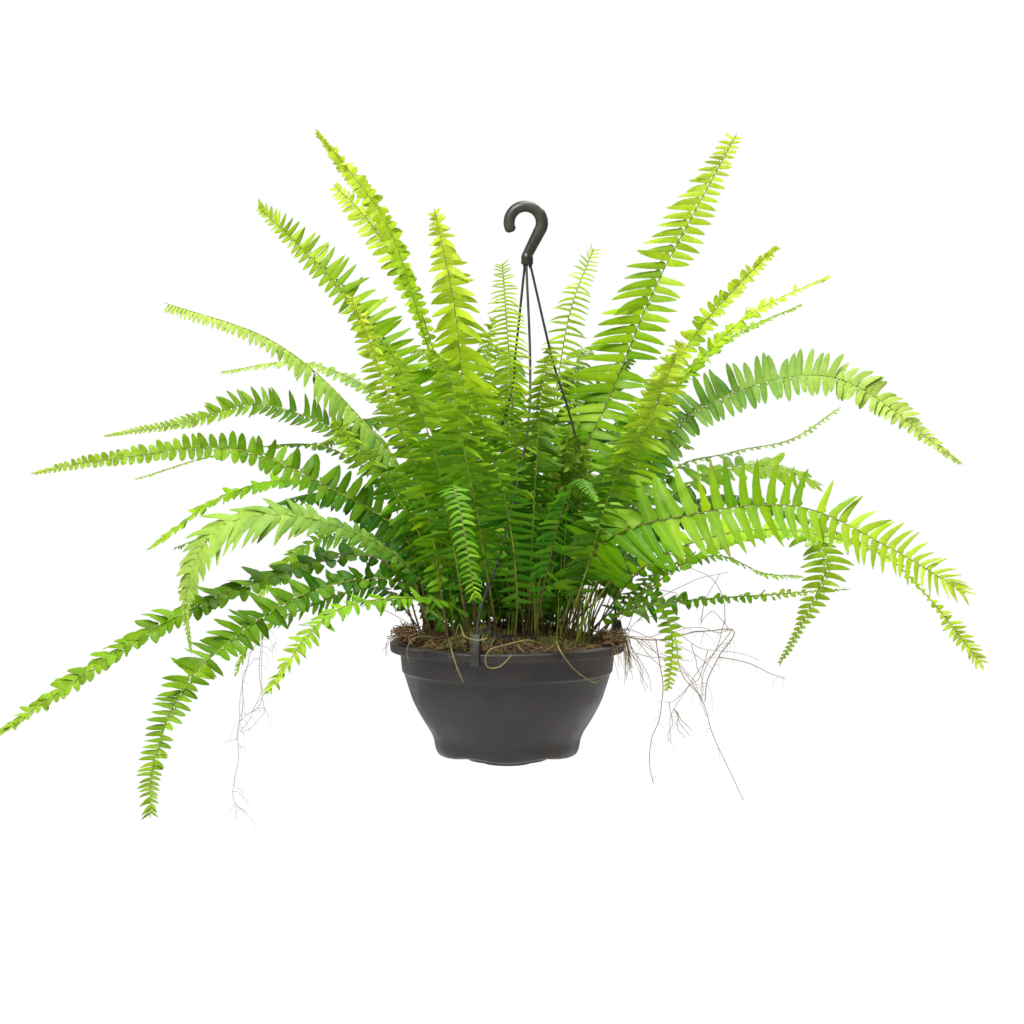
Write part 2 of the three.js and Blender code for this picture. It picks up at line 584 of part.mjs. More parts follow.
function triangleOf(a, b, c, thickness, node) {
  const triangle = new THREE.Triangle(a, b, c);
  const box = new THREE.Box3().setFromPoints([a, b, c]);
  const edges = [new THREE.Line3(a, b), new THREE.Line3(b, c), new THREE.Line3(c, a)];
  return { triangle, box, edges, thickness, node };
}

const probe = new THREE.Ray();
const found = V();

function edgesPass(first, second) {
  const { a, b, c } = second.triangle;
  return first.edges.some((edge) => {
    probe.origin.copy(edge.start);
    edge.delta(probe.direction);
    const reach = probe.direction.length();
    probe.direction.divideScalar(reach);
    const hit = probe.intersectTriangle(a, b, c, false, found);
    return hit !== null && hit.distanceTo(edge.start) <= reach;
  });
}

function triangleGap(first, second) {
  if (edgesPass(first, second) || edgesPass(second, first)) {
    return 0;
  }
  let nearest = Infinity;
  for (const edge of first.edges) {
    for (const other of second.edges) {
      nearest = Math.min(nearest, edge.distanceSqToLine3(other));
    }
  }
  for (const [one, two] of [[first, second], [second, first]]) {
    for (const edge of one.edges) {
      two.triangle.closestPointToPoint(edge.start, found);
      nearest = Math.min(nearest, found.distanceToSquared(edge.start));
    }
  }
  return Math.sqrt(nearest);
}

// Whether a leaflet stays clear of the pot, the soil and everything already placed.
function isClear(leaflet, placed) {
  const { a, b, c } = leaflet.triangle;
  for (const share of [0.2, 0.4, 0.6, 0.8, 1]) {
    for (const start of [a, b]) {
      const point = start.clone().lerp(c, share);
      const r = Math.hypot(point.x, point.y);
      const inPot = r < RIM_RADIUS + POT_ROOM && point.z < RIM_TOP + POT_ROOM;
      const inSoil = r < SOIL_RADIUS && point.z < soilHeight(point.x, point.y) + SOIL_ROOM;
      if (inPot || inSoil) {
        return false;
      }
    }
  }
  return placed.every((other) => {
    const need = leaflet.thickness + other.thickness + GAP;
    const near = other.box.clone().expandByScalar(need);
    return !near.intersectsBox(leaflet.box) || triangleGap(leaflet, other) > need;
  });
}

// A leaflet's length along the frond, as a share of the longest.
function lengthShare(share) {
  return Math.min(1, 0.55 + 1.8 * share) * Math.max(0.22, (1 - share ** 2.4) ** 0.8);
}

const ribWidth = (share) => lerp(...RIB_WIDTH, share);
const ribThickness = (share) => lerp(...RIB_THICKNESS, share);

function ribCorners(rib) {
  const last = rib.points.length - 1;
  return rib.points.map((point, i) => {
    const { upper, left } = rib.frames[i];
    const half = ribWidth(i / last) / 2;
    const rise = ribThickness(i / last) / 2;
    const corner = (sideways, raised) =>
      point.clone().addScaledVector(left, sideways * half).addScaledVector(upper, raised * rise);
    return [corner(1, 1), corner(-1, 1), corner(0, -1)];
  });
}

// Finds each leaflet a pose that crosses nothing: flat if it can, folded or shorter if not.
function placeLeaflets(rib, placed, draw) {
  const { frond, points, frames, firstPair, pairs } = rib;
  const last = points.length - 1;
  const own = [];
  const sweep = radians(LEAFLET_SWEEP);
  const towards = (a, share, b, rest) => a.clone().multiplyScalar(share).addScaledVector(b, rest);
  rib.leaflets = new Map();
  for (let pair = 0; pair < pairs; pair++) {
    const i = firstPair + pair;
    const { along, upper, left } = frames[i];
    const share = (pair + 0.5) / pairs;
    const length = frond.leaflet * lengthShare(share);
    const half = ribWidth(i / last) / 2;
    for (const side of [1, -1]) {
      const start = points[i].clone().addScaledVector(left, side * half);
      const end = points[i + 1].clone().addScaledVector(frames[i + 1].left, side * half);
      const middle = start.clone().lerp(end, 0.5);
      const jitter = (draw() - 0.5) * LEAFLET_JITTER;
      const pose = (fold, shorter) => {
        const lift = radians(fold + jitter);
        const outward = towards(left, side * Math.cos(lift), upper, Math.sin(lift));
        const heading = towards(outward, Math.cos(sweep), along, Math.sin(sweep));
        const tip = middle.clone().addScaledVector(heading, length * shorter);
        const normal = outward.clone().cross(along).multiplyScalar(-side);
        return { tip, normal };
      };
      const trials = SHORTER.flatMap((shorter) => FOLDS.map((fold) => [fold, shorter]));
      for (const [fold, shorter] of trials) {
        const { tip, normal } = pose(fold, shorter);
        const inside = [start.clone().lerp(tip, 0.15), end.clone().lerp(tip, 0.15)];
        const full = triangleOf(start, end, tip, ribThickness(i / last) / 2, frond.node);
        const outer = triangleOf(...inside, tip, 0.1, frond.node);
        const crossesOwn = own.some((other) =>
          other.box.intersectsBox(outer.box) && triangleGap(other, outer) < LEAFLET_ROOM);
        if (!crossesOwn && isClear(full, placed)) {
          rib.leaflets.set(`${i},${side}`, { tip, normal });
          own.push(outer);
          rib.triangles.push(full);
          break;
        }
      }
    }
  }
}

function frondGeometry(rib) {
  const corners = ribCorners(rib);
  const vertices = corners.flat();
  const last = corners.length - 1;
  const triangles = [];
  const quad = (a, b, c, d) => triangles.push([a, b, c], [a, c, d]);
  const at = (i, corner) => 3 * i + corner;
  triangles.push([at(0, 0), at(0, 2), at(0, 1)]);
  for (let i = 0; i < last; i++) {
    const j = i + 1;
    quad(at(i, 0), at(i, 1), at(j, 1), at(j, 0));
    for (const side of [1, -1]) {
      const [a, d] = side > 0 ? [at(i, 0), at(i, 2)] : [at(j, 1), at(j, 2)];
      const [b, c] = side > 0 ? [at(j, 0), at(j, 2)] : [at(i, 1), at(i, 2)];
      const leaflet = rib.leaflets.get(`${i},${side}`);
      if (!leaflet) {
        quad(a, b, c, d);
        continue;
      }
      const edge = (rise) => leaflet.tip.clone().addScaledVector(leaflet.normal, rise);
      const above = vertices.push(edge(LEAFLET_TIP / 2)) - 1;
      const below = vertices.push(edge(-LEAFLET_TIP / 2)) - 1;
      triangles.push([a, b, above], [d, below, c]);
      quad(b, c, below, above);
      quad(above, below, d, a);
    }
  }
  triangles.push([at(last, 0), at(last, 1), at(last, 2)]);
  return body(vertices, triangles);
}

// A hole for a frond's flat stem, a little wider than the stem all round.
function stemHole(rib) {
  const { left, upper } = rib.frames[0];
  const wide = RIB_WIDTH[0] / 2 + FLAT_HOLE_ROOM[0];
  const thick = RIB_THICKNESS[0] / 2 + FLAT_HOLE_ROOM[1];
  const ground = soilHeight(rib.points[0].x, rib.points[0].y);
  const rings = [ground - STEM_DEPTH - GAP, ground + HOLE_RISE].map((z) =>
    [[1, 1], [-1, 1], [0, -1]].map(([a, b]) =>
      rib.points[0].clone().setZ(z).addScaledVector(left, a * wide).addScaledVector(upper, b * thick)));
  const triangles = [[0, 2, 1], [3, 4, 5]];
  for (let k = 0; k < 3; k++) {
    const next = (k + 1) % 3;
    triangles.push([k, next, next + 3], [k, next + 3, k + 3]);
  }
  return closed(body(rings.flat(), triangles));
}

// Bars that the fronds keep clear of, then the ribs in turn, then the leaflets.
const bars = [
  ...RODS.map((rod) => ({ node: rod.name, line: rodLine(rod), radius: ROD_RADIUS })),
  ...RUNNERS.map((runner) => ({ node: runner.name, line: runnerLine(runner), radius: RUNNER_RADIUS })),
  ...ROOT_SPRAYS.flatMap((spray) => sprayLines(spray).map((line) =>
    ({ node: spray.name, line, radius: STRAND_RADIUS }))),
];
const settled = bars.map(({ node, line, radius }) => ({ node, radius, lines: edgeLines(line) }));
const ribs = allFronds().map(ribOf);
for (const rib of ribs) {
  bendClear(rib, settled);
  settled.push({ node: rib.frond.node, radius: 0, lines: edgeLines(rib.points) });
}
for (const rib of ribs) {
  rib.frames = framesOf(rib);
  rib.triangles = [];
  const corners = ribCorners(rib);
  for (let i = 0; i < corners.length - 1; i++) {
    const [left, right] = corners[i];
    const [nextLeft, nextRight] = corners[i + 1];
    rib.triangles.push(triangleOf(left, right, nextRight, RIB_THICKNESS[0], rib.frond.node));
    rib.triangles.push(triangleOf(left, nextRight, nextLeft, RIB_THICKNESS[0], rib.frond.node));
  }
}
const barTriangles = bars.flatMap(({ node, line, radius }) =>
  edgeLines(line).map(({ start, end }) => {
    const middle = start.clone().lerp(end, 0.5);
    return triangleOf(start, end, middle, radius + BAR_ROOM, node);
  }));
const draw = randomDraws(SEED);
for (const rib of ribs) {
  const others = ribs.filter((other) => other !== rib).flatMap((other) => other.triangles);
  placeLeaflets(rib, [...others, ...barTriangles], draw);
}

const group = new THREE.Group();

function add(name, geometry, finish) {
  geometry.computeVertexNormals();
  const mesh = new THREE.Mesh(geometry, new THREE.MeshStandardMaterial({ metalness: 0, ...finish }));
  mesh.name = name;
  group.add(mesh);
}

const holes = [
  ...ribs.map(stemHole),
  ...[...RUNNERS, ...ROOT_SPRAYS].map(({ root }) => roundHole(...root, RUNNER_RADIUS)),
];
add("pot", potGeometry(), FINISH.pot);
add("soil", soilGeometry(holes), FINISH.soil);
add("hook", hookGeometry(), FINISH.hanger);
for (const rod of RODS) {
  add(rod.name, rodGeometry(rod), FINISH.hanger);
}
for (const runner of RUNNERS) {
  const line = runnerLine(runner);
  const radii = taper(line, RUNNER_RADIUS, RUNNER_RADIUS * 0.7);
  add(runner.name, bar(line, radii, RUNNER_SIDES), FINISH.runner);
}
for (const spray of ROOT_SPRAYS) {
  add(spray.name, sprayGeometry(spray), FINISH.root);
}
for (const node of new Set(ribs.map((rib) => rib.frond.node))) {
  const shapes = ribs.filter((rib) => rib.frond.node === node).map((rib) => solid(frondGeometry(rib)));
  add(node, surface(shapes.reduce((whole, shape) => whole.add(shape))), FINISH.frond);
}

// The hook's seat becomes the origin.
group.position.set(-HOOK_CENTRE.x, -HOOK_CENTRE.y, -(HOOK_CENTRE.z + HOOK_INSIDE));

export default group;
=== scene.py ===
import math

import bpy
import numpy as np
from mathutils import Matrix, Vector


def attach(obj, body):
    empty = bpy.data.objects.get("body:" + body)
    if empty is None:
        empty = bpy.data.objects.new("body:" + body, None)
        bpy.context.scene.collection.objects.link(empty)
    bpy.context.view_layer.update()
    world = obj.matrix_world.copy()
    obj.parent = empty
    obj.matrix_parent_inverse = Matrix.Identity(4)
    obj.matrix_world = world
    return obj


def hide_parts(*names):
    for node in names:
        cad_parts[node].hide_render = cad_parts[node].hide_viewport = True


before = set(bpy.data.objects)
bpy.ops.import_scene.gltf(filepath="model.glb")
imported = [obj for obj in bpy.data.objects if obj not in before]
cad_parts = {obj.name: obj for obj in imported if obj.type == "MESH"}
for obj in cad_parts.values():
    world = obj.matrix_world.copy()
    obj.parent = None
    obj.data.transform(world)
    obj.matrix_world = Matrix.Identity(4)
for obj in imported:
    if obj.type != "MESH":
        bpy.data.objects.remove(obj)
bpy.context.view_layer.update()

# A fern in a hanging pot, dressed for looks round its solids. Shapes are laid out in millimetres
# above the pot's foot, as in the part's source, and each mesh is then moved to the hook's seat
# and turned into metres.

SEED = 7
SEAT = np.array([19.0, 0.0, 585.0])      # the row's origin, seen from the pot's foot
UP = np.array([0.0, 0.0, 1.0])
FRONT_TO_BACK = np.array([0.0, 1.0, 0.0])

# The camera stands where the photograph was taken from. FOCAL is in pixels of the picture.
PICTURE = 1024
FOCAL = 2832
SENSOR = 36.0
EYE = np.array([5.0, -3000.0, 461.0])
AIM = np.array([5.0, 0.0, 268.0])

# The stage, in metres and watts. FLOOR_DROP is in millimetres, from the pot's foot to the floor.
FLOOR_DROP = 620
FLOOR_REACH = 14.0
FLOOR_GREY = 0.6
SURROUND_STRENGTH = 0.38
# Each lamp's place, aim, size and power.
LAMPS = {
    "key_lamp": ((-1.3, -2.2, 2.2), (0, 0, -0.3), 1.3, 190),
    "top_lamp": ((0.3, 0.2, 2.4), (0, 0, -0.2), 1.6, 118),
    "back_lamp": ((0.9, 2.1, 0.9), (0, 0, -0.2), 1.8, 50),
}

# The pot: radius and height of each corner.
POT_OUTSIDE = [
    (0, 0), (26, 0), (27.2, 4.2), (42.5, 4.2), (44, 8.5), (66, 8.5), (74, 10), (76.8, 17),
    (78.8, 30), (92, 50.5), (101, 68), (108.5, 92), (110.2, 97.5), (112, 99), (114.2, 121),
    (124.3, 121), (125, 128.5), (123.5, 130), (111.5, 130),
]
POT_INSIDE = [(105.5, 92), (98.2, 67), (78.4, 33), (68, 15), (0, 15)]
POT_WALL = (29, 70)                      # between these heights the corners are long curves
POT_WALL_BEND = 9.0                      # how far those are rounded
POT_FOOT = (10, 17)                      # the heights where the wall turns under
POT_FOOT_BEND = 5.0
POT_CORNER = 0.9                         # the same for the moulded edges
POT_SEGMENTS = 144
# Four notches in the lower edge of the wall, this many degrees from the front and the back.
FOOT_NOTCHES = {"from": 33, "width": 18, "depth": 3, "inner": 60, "top": 15}
# Where the wall is stained, by degrees round it and by height, and the shade under its ledge.
STAIN = {"turn": -28, "spread": 42, "height": 112, "depth": 18}
LEDGE_SHADE = {"height": 93, "depth": 4.5}

# The soil: the height of its middle, its fall to the edge, and the profile of its side.
SOIL_CENTRE = 147
SOIL_FALL = 24
SOIL_RADIUS = 109.6
SOIL_RELIEF = 2.4
SOIL_FOOT = 15.4
SOIL_SIDE = [(66.6, SOIL_FOOT), (77.1, 33.4), (97.0, 67.4), (104.4, 92.4), (SOIL_RADIUS, 124.2)]
SOIL_SEGMENTS = 160
SOIL_SHARES = np.linspace(0.985, 0.03, 34)  # where the rings of its top lie, from edge to middle
SOIL_ROUGHNESS = 0.8
SOIL_BUMPS = 1.1
CRUMBS = 900
CRUMB_REACH = 108                        # how far from the pot's axis the crumbs lie
CRUMB_SIZE = (0.8, 2.6)
MOSS_CLUMPS = 110
MOSS_REACH = 106
MOSS_EDGE = 109
MOSS_HEIGHT = (2.5, 7)
OLD_STEMS = 130
OLD_STEM_REACH = 100
MAT_ROOTS = 420
MAT_STEPS = 12
OVERHANGING_ROOTS = 34
RIGHT_SHARE = 0.85                       # of the overhanging roots, those on the right
# Root tangles on the rim: centre, spread and count.
TANGLES = [
    ((-106, -34, 142), (15, 22, 8), 90), ((110, -34, 139), (14, 24, 6), 90),
    ((118, 10, 138), (8, 34, 5), 40), ((-112, 30, 138), (10, 30, 5), 40),
]

# The hanger.
HOOK_CENTRE = np.array([19.0, 0.0, 574.0])
HOOK_INSIDE = 11
HOOK_RADIUS = 6
HOOK_DEGREES = range(190, -21, -5)       # along its bend, from the tip over the top
HOOK_TIP_DEGREES = 197
HOOK_TIP_WAY = np.array([0.29, 0, -0.96])
HOOK_TIP = [(5.4, 0.42), (4.9, 0.62), (3.8, 0.84), (2.2, 0.97), (0, 1)]  # past the bend, thickness
SPINE_DEGREES = 38                       # where the thicker spine begins
SPINE_RISE = 0.2
COLLAR_X = 21
COLLAR_RADIUS = 6.4
COLLAR_BOTTOM = 530
COLLAR_TOP = 542
SOCKET_RING = 3.5
ROD_RADIUS = 1.3
ROD_STEPS = 70
CLIP_WIDTH = 9
CLIP_GAP = 0.35                          # between the clip and the rim
CLIP_INSIDE = 116.5
CLIP_TOP = 150
CLIP_ROD = 121.5
RIM_RADIUS = 125
RIM_INSIDE = 110
RIM_TOP = 130
RIM_UNDERSIDE = 121
RODS = [
    ("rod_front", -105, [(24, -30, 425), (20, -62, 350), (-4, -100, 242), (-26, -116, 180)]),
    ("rod_right", 15, [(48, 5, 429), (66, 12, 372), (95, 22, 262), (113, 30, 182)]),
    ("rod_back_left", 135, [(9, 26, 439), (2, 42, 385), (-38, 74, 262), (-78, 86, 182)]),
]

RUNNERS = [
    ("runner_1", (-56, -84), [(-49, -112, 160), (-43, -126, 149), (-30, -134, 146),
                              (-21, -134, 148)]),
    ("runner_2", (38, -90), [(22, -108, 143), (-4, -120, 139), (-17, -132, 136), (-22, -134, 127),
                             (-19, -133, 118), (-7, -132, 119), (5, -131, 131)]),
    ("runner_3", (56, -80), [(51, -106, 141), (55, -126, 133), (66, -116, 117), (79, -97, 104),
                             (91, -80, 96), (101, -66, 100)]),
    ("runner_4", (-66, -74), [(-60, -104, 143), (-56, -121, 132), (-51, -120, 116),
                              (-45, -113, 101)]),
]

# A pale root that bends over the left of the rim.
PALE_STRAND = [(-78, -62, 141), (-90, -70, 143), (-100, -76, 139), (-104, -78, 128),
               (-102, -76, 116)]

# Finer threads that hang with the roots, by depth behind the pot's axis and place in the picture.
THREADS_RIGHT = [
    (-46, [(628, 640), (636, 658), (641, 675), (646, 692)]),
    (-40, [(626, 634), (640, 662), (648, 676), (651, 690)]),
    (-52, [(625, 632), (650, 635), (674, 631), (693, 643), (706, 649), (741, 653), (759, 660)]),
    (-47, [(738, 610), (726, 629), (709, 655), (690, 682), (672, 712), (670, 729), (671, 744)]),
    (-36, [(672, 667), (680, 674), (691, 688), (700, 700), (706, 716)]),
    (-50, [(738, 610), (720, 624), (699, 625), (672, 632)]),
    (-44, [(725, 574), (713, 592), (707, 610), (700, 625)]),
    (-55, [(692, 647), (693, 658), (700, 672), (703, 688), (701, 700)]),
    (-40, [(667, 575), (658, 589), (645, 603), (630, 626), (622, 634)]),
    (-30, [(637, 574), (620, 614), (612, 628)]),
    (-34, [(623, 568), (638, 572), (651, 582), (660, 590)]),
    (-42, [(678, 708), (684, 720), (692, 731)]),
    (-45, [(676, 712), (678, 724), (685, 738)]),
    (-48, [(640, 645), (659, 658), (668, 668), (680, 672)]),
    (-38, [(640, 650), (652, 656), (664, 656), (690, 661)]),
    (-50, [(684, 580), (691, 592), (687, 602), (700, 606)]),
    (-58, [(705, 655), (700, 676), (690, 684), (676, 700), (664, 702)]),
    (-48, [(732, 620), (727, 600), (716, 578), (687, 566), (658, 562)]),
    (-44, [(700, 622), (706, 600), (720, 574)]),
    (-40, [(640, 628), (660, 600), (690, 582), (728, 572)]),
    (-35, [(628, 632), (640, 600), (656, 572)]),
    (-52, [(730, 621), (718, 648), (706, 672), (700, 700)]),
    (-30, [(626, 634), (634, 655), (640, 672), (648, 688)]),
    (-45, [(632, 636), (660, 664), (690, 676), (702, 700)]),
    (-38, [(668, 700), (670, 720), (668, 742)]),
    (-40, [(674, 706), (684, 728), (690, 736)]),
    (-33, [(624, 636), (629, 648), (640, 664), (643, 680)]),
    (-56, [(631, 634), (655, 640), (680, 646), (702, 660), (712, 668)]),
    (-49, [(627, 634), (652, 650), (676, 660), (690, 676)]),
]
THREADS_LEFT = [
    (10, [(262, 642), (262, 668), (261, 690), (265, 712)]),
    (12, [(248, 670), (243, 690), (240, 714), (236, 740)]),
    (8, [(254, 690), (250, 712), (246, 724), (240, 732)]),
    (14, [(265, 644), (272, 650), (276, 642)]),
    (9, [(264, 714), (252, 726), (242, 733)]),
]

# Hanging roots: node, radius, root in the soil, main strand, branches and threads.
ROOT_SPRAYS = [
    ("roots_right", 0.7, (88, -24),
     [(106, -30, 144), (126, -36, 139), (156, -40, 137), (196, -42, 144), (237, -46, 146),
      (222, -50, 119), (210, -52, 96), (207, -52, 72)],
     [[(156, -40, 137), (164, -42, 72), (152, -44, 30), (150, -44, 2), (154, -44, -16)],
      [(176, -41, 140), (184, -38, 98), (205, -34, 70), (217, -32, 33), (229, -30, 6),
       (250, -28, -36)],
      [(222, -50, 119), (254, -56, 113), (276, -60, 103), (290, -62, 98)]], THREADS_RIGHT),
    ("roots_left", 0.36, (-88, 8),
     [(-126, 10, 160), (-190, 14, 184), (-246, 14, 165), (-264, 12, 108), (-263, 12, 64),
      (-286, 12, 42), (-288, 10, 2), (-294, 8, -38), (-281, 8, -56)],
     [[(-256, 14, 140), (-280, 20, 104), (-286, 22, 46)]], THREADS_LEFT),
]

# Fronds, numbered in their group. Each row: colour, root in the soil, longest leaflet, turn
# towards the front, path to the tip, and how its leaflets grow where that differs from GROWTH.
# Pairs run from the first to the last value along the blade. Pitch is in millimetres. Lengths
# are shares of the longest leaflet, evenly spaced along the blade, and sides are shares for its
# left and right. Breadth is a leaflet's width beside the pitch. Sweep and lift are degrees
# towards the tip and the upper side, and skew leans the left ones on and the right ones back.
# Flat evens out the slope of the leaflets. Hang lowers a leaflet from its foot, droop bends it
# down on its way, curl bends it to the tip and level turns its face up. Blunt fills out its end.
# Tone runs from 0, dark, to 1, light, youth is how fresh the tip is, and rib is 0 for a brown
# rib and 1 for a green one. Bare is the share without leaflets, and loose is how far they stray.
GROWTH = dict(
    pitch=(9.0, 6.5), lengths=(0.5, 0.92, 1, 0.9, 0.7, 0.25), sides=(1, 1),
    breadth=(0.72, 0.8), sweep=(2, 18), skew=(0, 0), lift=8, flat=0.5, hang=0.06, droop=0.35,
    curl=0.1, level=0.2, blunt=2.8, tone=(0.3, 0.7), youth=0.7, rib=0.75, bare=0.14, loose=1.0,
)
